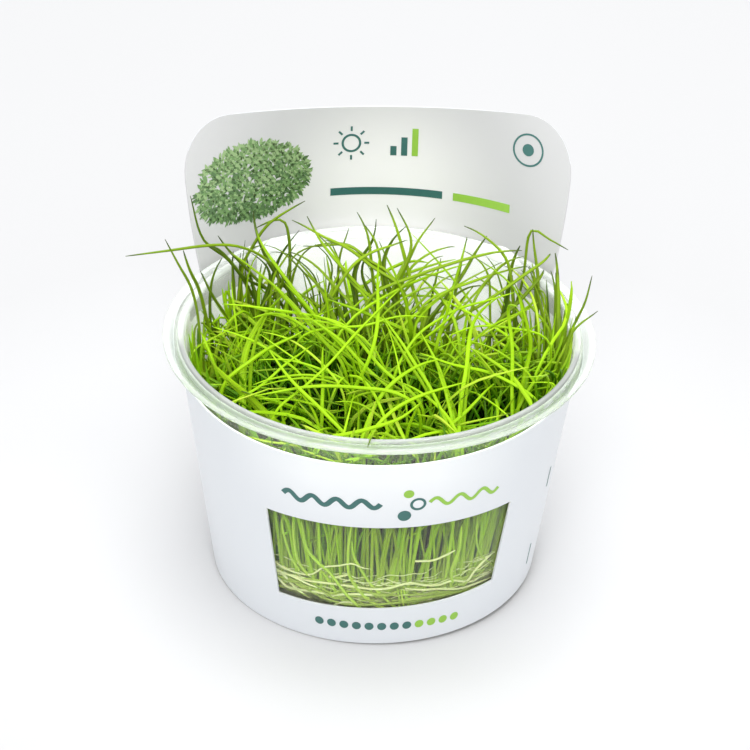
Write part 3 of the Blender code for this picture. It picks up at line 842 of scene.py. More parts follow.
# Culms' tones and girths in the mass. Painted shade: the tones fall from the middle towards the back and the
# sides
TONE_MIDDLE = 0.82
TONE_BACKWARDS = 5.0
TONE_SIDEWAYS = 3.0
TONE_SPREAD = 0.21
SHADE_LIMITS = (0.36, 0.86)
TONE_LIMITS = (0.03, 0.92)
WALL_BAND = 0.0028
WALL_TONE = 0.53
WALL_TONE_SPREAD = 1.2
WALL_TONE_LIMITS = (0.06, 0.88)
THINNEST = 0.00020
THICKER = 0.00034
WALL_THICKER = 0.00010
DARK_TIPS_SHARE = 0.12
PLAIN_END = 0.94
# Painted shade on the tops of the wall culms in front, under the rim: its strength, the height where it
# starts, its length and where the front ends
SHADED_TOP, SHADED_TOP_Z, SHADED_TOP_LENGTH = 0.35, 0.048, 0.006
FRONT_HALF_Y, FRONT_HALF_LENGTH = 0.010, 0.020


def lowered(x, y, places):
    """Return how far hollows lower the mass at a point."""
    return sum(depth * np.exp(-((x - middle_x) ** 2 + (y - middle_y) ** 2) / radius ** 2)
               for middle_x, middle_y, radius, depth in places)


def mass_top(x, y):
    """Return how high the mass of culms stands: highest in the middle and at the sides, low at the back."""
    back = np.clip((y - BACK_START) / BACK_LENGTH, 0.0, 1.0)
    front = np.clip(-y / FRONT_LENGTH, 0.0, 1.0)
    side = np.clip((np.abs(x) - SIDE_START) / SIDE_LENGTH, 0.0, 1.0)
    top = MASS_TOP_Z - FRONT_FALL * front - BACK_FALL * back * (1.0 - side) + SIDE_RISE * side
    return top - lowered(x, y, CLEARING)


def painted_shade_in_mass(paths):
    """Return the painted shade of each point, from 0 at the mass's top to 1 in its dark inside."""
    below = mass_top(paths[:, :, 0], paths[:, :, 1]) - paths[:, :, 2]
    depth = np.clip((below - SHADE_START) / SHADE_DEPTH, 0.0, 1.0) ** SHADE_POWER
    from_wall = wall_inside(paths[:, :, 2]) - np.hypot(paths[:, :, 0], paths[:, :, 1])
    return depth * np.clip(SHADE_AT_WALL + (1.0 - SHADE_AT_WALL) * from_wall / LIT_DEPTH, 0.0, 1.0)


def plantlet_culms(draw, x, y):
    """Return feet and growth of one plantlet's culms."""
    count = INNER_CULMS
    turn = draw.uniform(0.0, math.tau, count)
    out = TUFT_RADIUS * np.sqrt(draw.uniform(0.0, 1.0, count))
    feet = np.stack([x + out * np.cos(turn), y + out * np.sin(turn),
                     np.full(count, MAT_TOP_Z - FOOT_DEPTH)], axis=1)
    tall = draw.uniform(0.0, 1.0, count) < TALL_SHARE
    drop = LOWEST_TIP * draw.uniform(0.0, 1.0, count) ** 1.4
    rise = np.where(tall, draw.uniform(*TALL_RISE, count), -drop)
    arching = draw.uniform(0.0, 1.0, count) < ARCHING_SHARE
    return {
        "feet": feet,
        "azimuths": draw.uniform(0.0, 360.0, count),
        "peaks": mass_top(feet[:, 0], feet[:, 1]) - lowered(feet[:, 0], feet[:, 1], HOLLOWS) + rise,
        "leans": draw.uniform(0.0, 14.0, count),
        "bends": np.where(arching, draw.uniform(45.0, 92.0, count), draw.uniform(8.0, 45.0, count)),
        "starts": draw.uniform(0.25, 0.65, count),
        "spans": draw.uniform(0.20, 0.50, count),
        "twists": draw.uniform(-50.0, 50.0, count),
    }


def wall_culms(draw, x, y):
    """Return feet and growth of the culms that an outer plantlet presses against the wall."""
    count = WALL_CULMS
    azimuth = math.degrees(math.atan2(x, -y)) + draw.uniform(-TUFT_TURN, TUFT_TURN, count)
    radius = wall_inside(MAT_TOP_Z) - (WALL_INSET + WALL_INSET_SPREAD * draw.uniform(0.0, 1.0, count))
    angle = np.radians(azimuth)
    feet = np.stack([radius * np.sin(angle), -radius * np.cos(angle),
                     np.full(count, MAT_TOP_Z - WALL_FOOT_DEPTH)], axis=1)
    along_wall = np.where(draw.uniform(0.0, 1.0, count) < 0.5, 90.0, -90.0)
    return {
        "feet": feet,
        "azimuths": azimuth + along_wall + draw.uniform(-30.0, 30.0, count),
        "peaks": mass_top(feet[:, 0], feet[:, 1]) - draw.uniform(0.0, LOWEST_WALL_TIP, count),
        "leans": draw.uniform(0.0, 13.0, count),
        "bends": draw.uniform(4.0, 75.0, count),
        "starts": draw.uniform(0.25, 0.60, count),
        "spans": draw.uniform(0.30, 0.60, count),
        "twists": draw.uniform(-30.0, 30.0, count),
    }


def build_plantlets():
    """Make the mass of culms, one piece for each ring of plantlets."""
    material = culm_material()
    draw = np.random.default_rng(SEED)
    feet = tuft_feet()
    for ring, nearest, farthest in RINGS:
        parts, nodes = [], []
        for name, x, y in feet:
            if nearest <= math.hypot(x, y) < farthest:
                nodes.append(name)
                parts.append(plantlet_culms(draw, x, y))
                if ring == "plantlets_outer":
                    parts.append(wall_culms(draw, x, y))
        growth = {key: np.concatenate([part[key] for part in parts]) for key in parts[0]}
        paths = grown_culms(draw, **growth)
        count = len(paths)
        x, y, _ = growth["feet"].T
        # Painted shade: tones darker towards the back and the sides of the mass.
        shade = TONE_MIDDLE - TONE_BACKWARDS * np.maximum(y, 0.0) - TONE_SIDEWAYS * np.abs(x)
        shade = np.clip(shade, *SHADE_LIMITS)
        tones = np.clip(shade + draw.normal(0.0, TONE_SPREAD, count), *TONE_LIMITS)
        wall_tones = np.clip(WALL_TONE + WALL_TONE_SPREAD * (tones - shade), *WALL_TONE_LIMITS)
        at_wall = np.hypot(x, y) > wall_inside(MAT_TOP_Z) - WALL_BAND
        radii = THINNEST + THICKER * draw.uniform(0.0, 1.0, count) ** 1.3
        flatness = draw.uniform(1.0, 1.5, count)
        ends = np.where(draw.uniform(0.0, 1.0, count) < DARK_TIPS_SHARE, 1.0, PLAIN_END)
        # Painted shade under the rim, on the tops of the wall culms in front
        in_front = np.clip((FRONT_HALF_Y - paths[:, :, 1]) / FRONT_HALF_LENGTH, 0.0, 1.0)
        near_rim = np.clip((paths[:, :, 2] - SHADED_TOP_Z) / SHADED_TOP_LENGTH, 0.0, 1.0)
        painted_rim_shade = SHADED_TOP * in_front * near_rim
        mesh = culm_tubes(ring, paths, np.where(at_wall, radii + WALL_THICKER, radii),
                          np.where(at_wall, wall_tones, tones), ends, flatness,
                          painted_shades=np.where(at_wall[:, None], painted_rim_shade, painted_shade_in_mass(paths)))
        add_piece(ring, mesh, material, nodes)


# Stray culms, each in place of the CAD's own: tone, azimuth of the gap that it rises in, and points. The
# points are the CAD's, except the low part of far_left and the whole of front.
STRAY_FOOT_RADIUS = 0.0376
STRAY_LOW_Z = 0.030
STRAY_BEND_Z = 0.0440
STRAY_RADIUS = 0.00038
STRAY_POINTS = 40
STRAYS = {
    "far_left": (0.34, 227.4, (-0.0235, 0.0262, 0.0580), (-0.0275, 0.0235, 0.0660),
        (-0.0335, 0.0200, 0.0712), (-0.0400, 0.0170, 0.0731), (-0.0495, 0.0120, 0.0742),
        (-0.0590, 0.0060, 0.0758)),
    "left": (0.30, 265.3, (-0.0423, 0.0070, 0.0580), (-0.0440, 0.0080, 0.0665), (-0.0470, 0.0080, 0.0730),
        (-0.0500, 0.0080, 0.0795)),
    "back_left": (0.16, 208.4, (-0.0255, 0.0320, 0.0515), (-0.0325, 0.0262, 0.0590),
        (-0.0368, 0.0242, 0.0655), (-0.0425, 0.0240, 0.0709), (-0.0453, 0.0240, 0.0822)),
    "kinked": (0.34, 132.6, (0.0336, 0.0272, 0.0600), (0.0349, 0.0300, 0.0720), (0.0396, 0.0280, 0.0712),
        (0.0438, 0.0245, 0.0706)),
    "right": (0.30, 94.7, (0.0427, 0.0025, 0.0560), (0.0450, 0.0020, 0.0640), (0.0471, 0.0024, 0.0697),
        (0.0483, 0.0030, 0.0764)),
    "far_right": (0.30, 75.8, (0.0424, -0.0050, 0.0560), (0.0443, -0.0020, 0.0640),
        (0.0501, 0.0020, 0.0676)),
    "front": (0.52, 0.0, (0.0004, -0.0415, 0.0585), (0.0000, -0.0440, 0.0629), (-0.0008, -0.0468, 0.0634),
        (-0.0016, -0.0493, 0.0620)),
}


def widened(foot, z):
    """Return where a culm that only follows the cup's taper stands at a height."""
    share = wall_inside(z) / wall_inside(foot.z)
    return Vector((foot.x * share, foot.y * share, z))


def build_strays():
    """Make the single culms that leave the mass as round smooth culms."""
    material = culm_material()
    for name, (tone, azimuth, *bends) in STRAYS.items():
        foot = around(azimuth, STRAY_FOOT_RADIUS, MAT_TOP_Z)
        points = [foot, widened(foot, STRAY_LOW_Z), widened(foot, STRAY_BEND_Z), *map(Vector, bends)]
        path = smooth_path(points, STRAY_POINTS)
        mesh = culm_tubes(f"{name}_culm", [path], STRAY_RADIUS, tone, 1.0, 1.1, sides=8)
        add_piece(f"{name}_culm", mesh, material, [f"stray_culm_{name}"])


# Culms that stand out in the photograph: depth of the lowest and of the last point in millimetres, radius in
# millimetres, tone, and pixels from low to tip
TALL_CULMS_PX = {
    "left_arch": (28, 22, 0.50, 0.20, (250, 292), (240, 275), (225, 258), (208, 245), (197, 241.5),
        (190, 241.5)),
    "left_low_arch": (28, 25, 0.45, 0.25, (262, 285), (240, 262), (225, 250), (215, 240), (207, 232)),
    "left_edge": (14, 6, 0.45, 0.35, (199, 320), (195, 292), (190, 281), (185, 275), (175, 262), (168, 249)),
    "left_up": (16, 18, 0.42, 0.16, (201, 320), (206, 293), (211, 280), (216, 268), (222, 258)),
    "left_up_short": (16, 12, 0.42, 0.30, (216, 302), (210, 292), (204, 280), (199, 271)),
    "left_crossing": (28, 29, 0.45, 0.30, (250, 252), (258, 237), (270, 221), (280, 216), (290, 209),
        (305, 201)),
    "left_bowed": (30, 30, 0.45, 0.30, (290, 262), (290, 245), (287, 225), (285, 216.5), (275, 219),
        (265, 223), (256, 228)),
    "left_dark": (30, 32, 0.60, 0.12, (272, 280), (277, 264), (283, 252), (292, 240), (300, 230)),
    "left_pair": (30, 31, 0.55, 0.22, (280, 280), (268, 262), (263, 250), (258, 238), (254, 222),
        (253, 211)),
    "left_broad": (26, 27, 0.85, 0.28, (226, 312), (227, 292), (229, 262), (231, 250)),
    "left_broad_2": (27, 28, 0.60, 0.24, (238, 305), (237, 285), (238, 262), (240, 252)),
    "left_broad_3": (27, 28, 0.60, 0.34, (250, 305), (247, 290), (245, 272), (246, 258)),
    "middle_sweep": (24, 30, 0.45, 0.44, (376, 270), (365, 262), (350, 248), (325, 238), (313, 231),
        (302, 224), (292, 220)),
    "middle_long": (20, 30, 0.48, 0.52, (376, 302), (356, 284), (338, 262), (328, 252), (320, 240),
        (313, 228), (307, 216)),
    "middle_thin": (28, 32, 0.36, 0.34, (338, 280), (339, 258), (341, 250), (346, 238), (349, 228)),
    "middle_bow": (26, 30, 0.42, 0.40, (372, 270), (370, 247), (369, 240), (367, 230), (362, 220),
        (357, 212)),
    "middle_branch": (24, 28, 0.42, 0.40, (383, 285), (381, 268), (379, 252), (376, 240), (370, 232),
        (363, 223)),
    "middle_curl": (24, 30, 0.75, 0.16, (356, 300), (354, 282), (354, 272), (357, 264), (364, 254),
        (371, 247), (375, 238), (377, 230), (377, 219)),
    "middle_lean": (22, 31, 0.48, 0.50, (416, 300), (414, 292), (410, 278), (406, 262), (402, 248),
        (398, 232), (392, 216), (387, 205)),
    "middle_hook": (22, 30, 0.42, 0.38, (392, 292), (397, 280), (404, 268), (409, 258), (413, 246),
        (412, 238), (409, 229), (403, 219), (397, 208)),
    "middle_wide": (22, 30, 0.85, 0.20, (398, 305), (392, 296), (386, 283), (383, 270), (384, 260),
        (388, 248), (394, 238), (400, 232), (407, 226)),
    "middle_right": (24, 30, 0.42, 0.44, (398, 290), (404, 270), (410, 258), (415, 246), (420, 236),
        (428, 228), (435, 218)),
    "middle_low": (18, 26, 0.45, 0.46, (330, 300), (345, 275), (352, 265), (362, 257), (372, 251),
        (384, 248), (396, 244), (407, 240)),
    "middle_up": (28, 31, 0.36, 0.40, (430, 305), (434, 288), (438, 270), (441, 258)),
    "right_pale": (24, 30, 0.38, 0.50, (400, 290), (408, 270), (420, 259), (435, 250), (455, 246)),
    "right_pale_2": (24, 28, 0.36, 0.50, (408, 288), (420, 272), (428, 262), (436, 256), (443, 256)),
    "middle_arch": (26, 30, 0.40, 0.42, (370, 262), (357, 249), (352, 244), (345, 243), (330, 245),
        (315, 247), (303, 246)),
    "middle_arch_2": (28, 28, 0.40, 0.40, (287, 300), (291, 285), (293, 275), (298, 262), (303, 252),
        (312, 247)),
    "right_over": (22, 28, 0.42, 0.40, (512, 292), (511, 275), (508, 260), (502, 251), (494, 244),
        (484, 236), (474, 229), (464, 226)),
    "right_up": (28, 30, 0.42, 0.40, (456, 290), (458, 280), (461, 262), (464, 250), (467, 239)),
    "right_up_2": (24, 30, 0.55, 0.30, (448, 296), (460, 278), (467, 268), (473, 256), (480, 245),
        (487, 236)),
    "right_flat": (18, 26, 0.45, 0.42, (400, 282), (420, 274), (440, 267), (455, 262), (478, 256),
        (488, 253), (500, 251), (510, 250.5), (522, 250.5)),
    "right_bend": (26, 31, 0.55, 0.24, (504, 310), (506, 300), (509, 285), (510, 272), (513, 262),
        (517, 252), (524, 244)),
    "right_cross": (16, 26, 0.45, 0.42, (470, 312), (500, 292), (512, 284), (524, 275), (535, 267),
        (545, 261), (556, 254), (568, 249.5), (577, 247)),
    "right_tall": (24, 30, 0.45, 0.34, (552, 312), (553, 295), (552, 280), (548, 265), (543, 250),
        (540, 236), (541, 226)),
    "right_slant": (18, 26, 0.50, 0.28, (516, 305), (528, 292), (534, 284), (543, 276), (552, 270),
        (561, 265)),
    "right_stem": (14, 22, 0.55, 0.34, (566, 315), (568, 300), (569, 280), (570, 262), (569, 250)),
    "right_stem_2": (12, 20, 0.50, 0.40, (564, 318), (566, 300), (567, 280), (567, 262)),
    "right_stem_3": (12, 20, 0.45, 0.30, (566, 318), (568, 305), (571, 285), (575, 265)),
    "right_short": (16, 22, 0.40, 0.28, (564, 305), (566, 290), (566, 278), (562, 268)),
    "right_short_2": (22, 30, 0.36, 0.40, (492, 276), (500, 266), (512, 259), (524, 256)),
}
# Culms that lie on top of the mass: height of the lowest and of the last point in millimetres, radius in
# millimetres, tone, and pixels from low to tip
TOP_CULMS_PX = {
    "blade_left": (52, 72, 0.85, 0.66, (243, 390), (243, 372), (244, 357), (250, 340), (257, 326),
        (267, 314), (273, 306), (280, 299), (287, 293)),
    "blade_right": (52, 70, 0.45, 0.62, (250, 394), (250, 381), (251, 366), (253, 352), (256, 339),
        (261, 327), (267, 316)),
    "long_left": (52, 68, 0.80, 0.60, (273, 420), (260, 406), (252, 398), (242, 389), (231, 381), (220, 370),
        (211, 361), (205, 356)),
    "long_left_2": (50, 64, 0.50, 0.56, (266, 420), (255, 407), (246, 398), (236, 389), (226, 380),
        (217, 371)),
    "left_level": (66, 70, 0.38, 0.86, (322, 318), (310, 315), (290, 312), (270, 309), (255, 307),
        (240, 305), (222, 304)),
    "left_over": (60, 68, 0.45, 0.74, (322, 341), (312, 333), (302, 325), (292, 318), (282, 314), (272, 313),
        (262, 315), (253, 318)),
    "cross_rise": (60, 66, 0.50, 0.74, (250, 362), (260, 354), (268, 348), (276, 344), (290, 339),
        (303, 331)),
    "cross_fall": (58, 66, 0.42, 0.76, (330, 419), (324, 412), (315, 403), (307, 396), (298, 388),
        (292, 381), (283, 371), (277, 361), (269, 350)),
    "pale_left": (60, 66, 0.33, 0.85, (280, 358), (268, 349), (256, 342), (247, 338), (233, 333),
        (213, 327)),
    "level_1": (61, 64, 0.33, 0.80, (320, 369), (305, 364), (292, 360), (275, 359), (258, 360)),
    "level_2": (60, 61, 0.33, 0.76, (320, 376), (300, 375), (285, 376), (275, 378), (262, 381), (253, 385)),
    "level_3": (60, 61, 0.28, 0.72, (318, 379), (300, 378), (285, 380), (270, 383), (258, 387)),
    "rise_left": (58, 68, 0.36, 0.80, (257, 389), (268, 381), (278, 370), (288, 362), (297, 356), (307, 349),
        (312, 345)),
    "pale_arc": (62, 66, 0.30, 0.90, (322, 364), (310, 353), (300, 345), (288, 338), (275, 334), (262, 332)),
    "pale_thin": (62, 66, 0.24, 0.88, (296, 360), (287, 353), (272, 343), (260, 334)),
    "lean_left": (62, 76, 0.45, 0.70, (322, 340), (310, 325), (300, 314), (292, 306), (285, 298), (278, 290),
        (270, 282)),
    "lean_left_2": (62, 78, 0.42, 0.74, (330, 335), (320, 323), (312, 313), (305, 305), (298, 297),
        (291, 290), (285, 283)),
    "yellow_rise": (60, 84, 0.42, 0.84, (362, 375), (367, 365), (372, 352), (376, 337), (378, 323),
        (378, 307), (378, 290), (377, 281), (378, 268), (379, 258)),
    "long_fall": (60, 70, 0.42, 0.76, (395, 380), (385, 372), (377, 363), (368, 353), (363, 343), (357, 337),
        (347, 329), (335, 322), (321, 317), (310, 314)),
    "long_fall_2": (60, 70, 0.42, 0.72, (371, 373), (363, 365), (355, 356), (345, 344), (335, 335),
        (322, 327), (310, 318), (300, 312)),
    "long_fall_3": (60, 66, 0.36, 0.66, (345, 354), (339, 348), (330, 343), (321, 334), (310, 326)),
    "long_rise": (60, 76, 0.34, 0.80, (300, 391), (310, 382), (320, 373), (332, 361), (342, 350), (349, 340),
        (357, 332), (367, 322), (376, 312), (385, 303), (398, 291)),
    "arc_over": (66, 70, 0.33, 0.80, (331, 328), (350, 327), (364, 327), (377, 323), (390, 317), (402, 315),
        (414, 316), (429, 317)),
    "very_long": (56, 70, 0.45, 0.74, (445, 420), (439, 405), (432, 391), (426, 380), (418, 368), (412, 361),
        (406, 348), (398, 337), (390, 327), (382, 315)),
    "upright": (58, 76, 0.45, 0.70, (411, 338), (411, 330), (409, 315), (406, 302), (401, 290), (396, 278)),
    "right_lean": (60, 68, 0.36, 0.66, (414, 334), (414, 325), (421, 315), (429, 307), (440, 299)),
    "right_long": (62, 72, 0.36, 0.78, (408, 348), (413, 339), (421, 331), (432, 323), (445, 316),
        (455, 309), (464, 306), (474, 304), (487, 301), (499, 297), (516, 292)),
    "pale_line": (62, 72, 0.22, 0.88, (400, 374), (397, 358), (393, 343), (390, 333), (386, 322)),
    "fall_1": (60, 66, 0.36, 0.66, (412, 368), (407, 359), (400, 347), (392, 335), (385, 323)),
    "spike": (50, 66, 0.42, 0.78, (321, 432), (322, 420), (322, 403), (323, 386), (323, 373), (322, 360),
        (323, 347)),
    "spike_2": (58, 64, 0.36, 0.76, (355, 372), (353, 361), (354, 349)),
    "bow": (60, 60, 0.36, 0.76, (377, 399), (372, 391), (366, 382), (360, 376), (353, 373), (346, 374),
        (340, 379), (336, 387), (332, 397)),
    "great_arc": (54, 68, 0.50, 0.78, (363, 436), (365, 429), (368, 420), (372, 411), (377, 402), (382, 393),
        (390, 385), (399, 377), (408, 371), (417, 366), (428, 361), (442, 359)),
    "long_level": (63, 60, 0.46, 0.76, (385, 389), (375, 389), (360, 388), (343, 386), (327, 386),
        (312, 386), (299, 387), (292, 389), (283, 391), (270, 393), (254, 396)),
    "low_level": (58, 58, 0.30, 0.78, (302, 401), (283, 399), (270, 399), (257, 399)),
    "low_rise_1": (52, 60, 0.33, 0.80, (284, 423), (282, 415), (280, 403), (277, 395), (272, 389)),
    "low_rise_2": (52, 60, 0.28, 0.80, (283, 422), (290, 412), (297, 402), (303, 395)),
    "low_rise_3": (53, 61, 0.33, 0.80, (318, 424), (316, 415), (310, 405), (304, 397), (298, 391)),
    "front_lime": (61, 68, 0.52, 0.78, (349, 435), (362, 432), (373, 428), (384, 424), (395, 422),
        (403, 418), (410, 412), (417, 407), (420, 403)),
    "front_lime_2": (56, 67, 0.42, 0.72, (407, 437), (408, 428), (412, 418), (417, 409), (420, 404)),
    "sweep_right": (62, 62, 0.45, 0.78, (388, 414), (401, 405), (410, 400), (420, 396), (430, 392),
        (440, 389), (450, 387), (460, 383), (466, 382)),
    "fall_2": (58, 62, 0.40, 0.74, (452, 424), (445, 413), (440, 408), (430, 399), (421, 392), (412, 387),
        (403, 382), (395, 381)),
    "low_bow": (58, 60, 0.33, 0.62, (372, 411), (365, 406), (358, 402), (347, 401), (335, 402)),
    "thin_up": (52, 60, 0.30, 0.66, (358, 430), (359, 410), (357, 395)),
    "pale_short": (60, 66, 0.28, 0.88, (348, 418), (351, 405), (352, 400), (355, 392)),
    "green_level": (60, 61, 0.30, 0.60, (384, 391), (395, 391), (405, 392), (417, 393)),
    "fall_3": (58, 64, 0.42, 0.70, (447, 398), (444, 384), (439, 373), (437, 365), (434, 357)),
    "great_rise": (54, 76, 0.50, 0.80, (459, 430), (460, 417), (460, 403), (462, 392), (464, 382),
        (467, 367), (468, 348), (469, 337), (471, 327), (473, 318), (478, 312), (486, 306), (493, 300),
        (499, 297)),
    "beside_rise": (54, 64, 0.42, 0.66, (464, 419), (465, 403), (467, 387), (469, 375), (470, 362)),
    "short_rise": (57, 64, 0.45, 0.76, (463, 415), (472, 406), (480, 397), (489, 387), (494, 384)),
    "broad_fall": (58, 66, 0.66, 0.70, (525, 394), (517, 382), (512, 374), (504, 368), (492, 361),
        (480, 352), (470, 347), (460, 344), (450, 342)),
    "pale_fall": (59, 66, 0.45, 0.80, (511, 383), (498, 376), (487, 371), (475, 369), (462, 367), (453, 365),
        (443, 362), (430, 356), (420, 353)),
    "right_rise": (54, 78, 0.45, 0.76, (512, 409), (512, 397), (512, 383), (512, 369), (513, 357),
        (512, 342), (511, 330), (508, 317), (507, 307), (510, 304), (518, 307)),
    "right_rise_2": (56, 76, 0.45, 0.72, (522, 388), (524, 377), (528, 362), (531, 350), (531, 343),
        (529, 332), (527, 323), (523, 310), (520, 300)),
    "front_right": (52, 64, 0.45, 0.66, (514, 416), (517, 412), (522, 400), (528, 390), (534, 382),
        (542, 373), (549, 364), (553, 358)),
    "right_level": (60, 60, 0.26, 0.80, (557, 384), (550, 382), (540, 382), (526, 383)),
    "low_right": (52, 58, 0.36, 0.60, (498, 419), (505, 410), (510, 403), (515, 396)),
    "fall_4": (54, 62, 0.42, 0.72, (455, 424), (452, 408), (447, 397), (443, 385), (438, 372)),
    "thin_fall": (62, 66, 0.30, 0.66, (508, 358), (495, 349), (483, 344), (473, 342), (462, 340)),
    "fall_5": (60, 67, 0.36, 0.70, (466, 363), (460, 356), (455, 348), (449, 339), (444, 331)),
    "level_right": (66, 68, 0.30, 0.80, (518, 329), (510, 328), (495, 326), (483, 325), (470, 327),
        (457, 332), (447, 337)),
    "rise_right": (62, 72, 0.33, 0.72, (468, 348), (475, 340), (482, 332), (492, 325), (503, 320),
        (520, 312), (530, 309)),
    "rise_right_2": (60, 68, 0.33, 0.66, (486, 353), (492, 348), (502, 340), (510, 335), (520, 330),
        (530, 327)),
    "upright_2": (58, 76, 0.45, 0.72, (434, 357), (435, 352), (440, 333), (444, 322), (448, 308), (452, 295),
        (455, 284)),
    "fall_6": (58, 66, 0.42, 0.72, (447, 392), (445, 386), (441, 373), (435, 358), (429, 348), (425, 340),
        (420, 331)),
    "rise_middle": (62, 76, 0.36, 0.76, (420, 343), (425, 338), (441, 326), (451, 317), (460, 306),
        (467, 296), (472, 287)),
    "over_lip": (60, 63, 0.36, 0.62, (394, 438), (388, 433), (382, 431), (376, 435), (372, 442), (369, 447)),
}
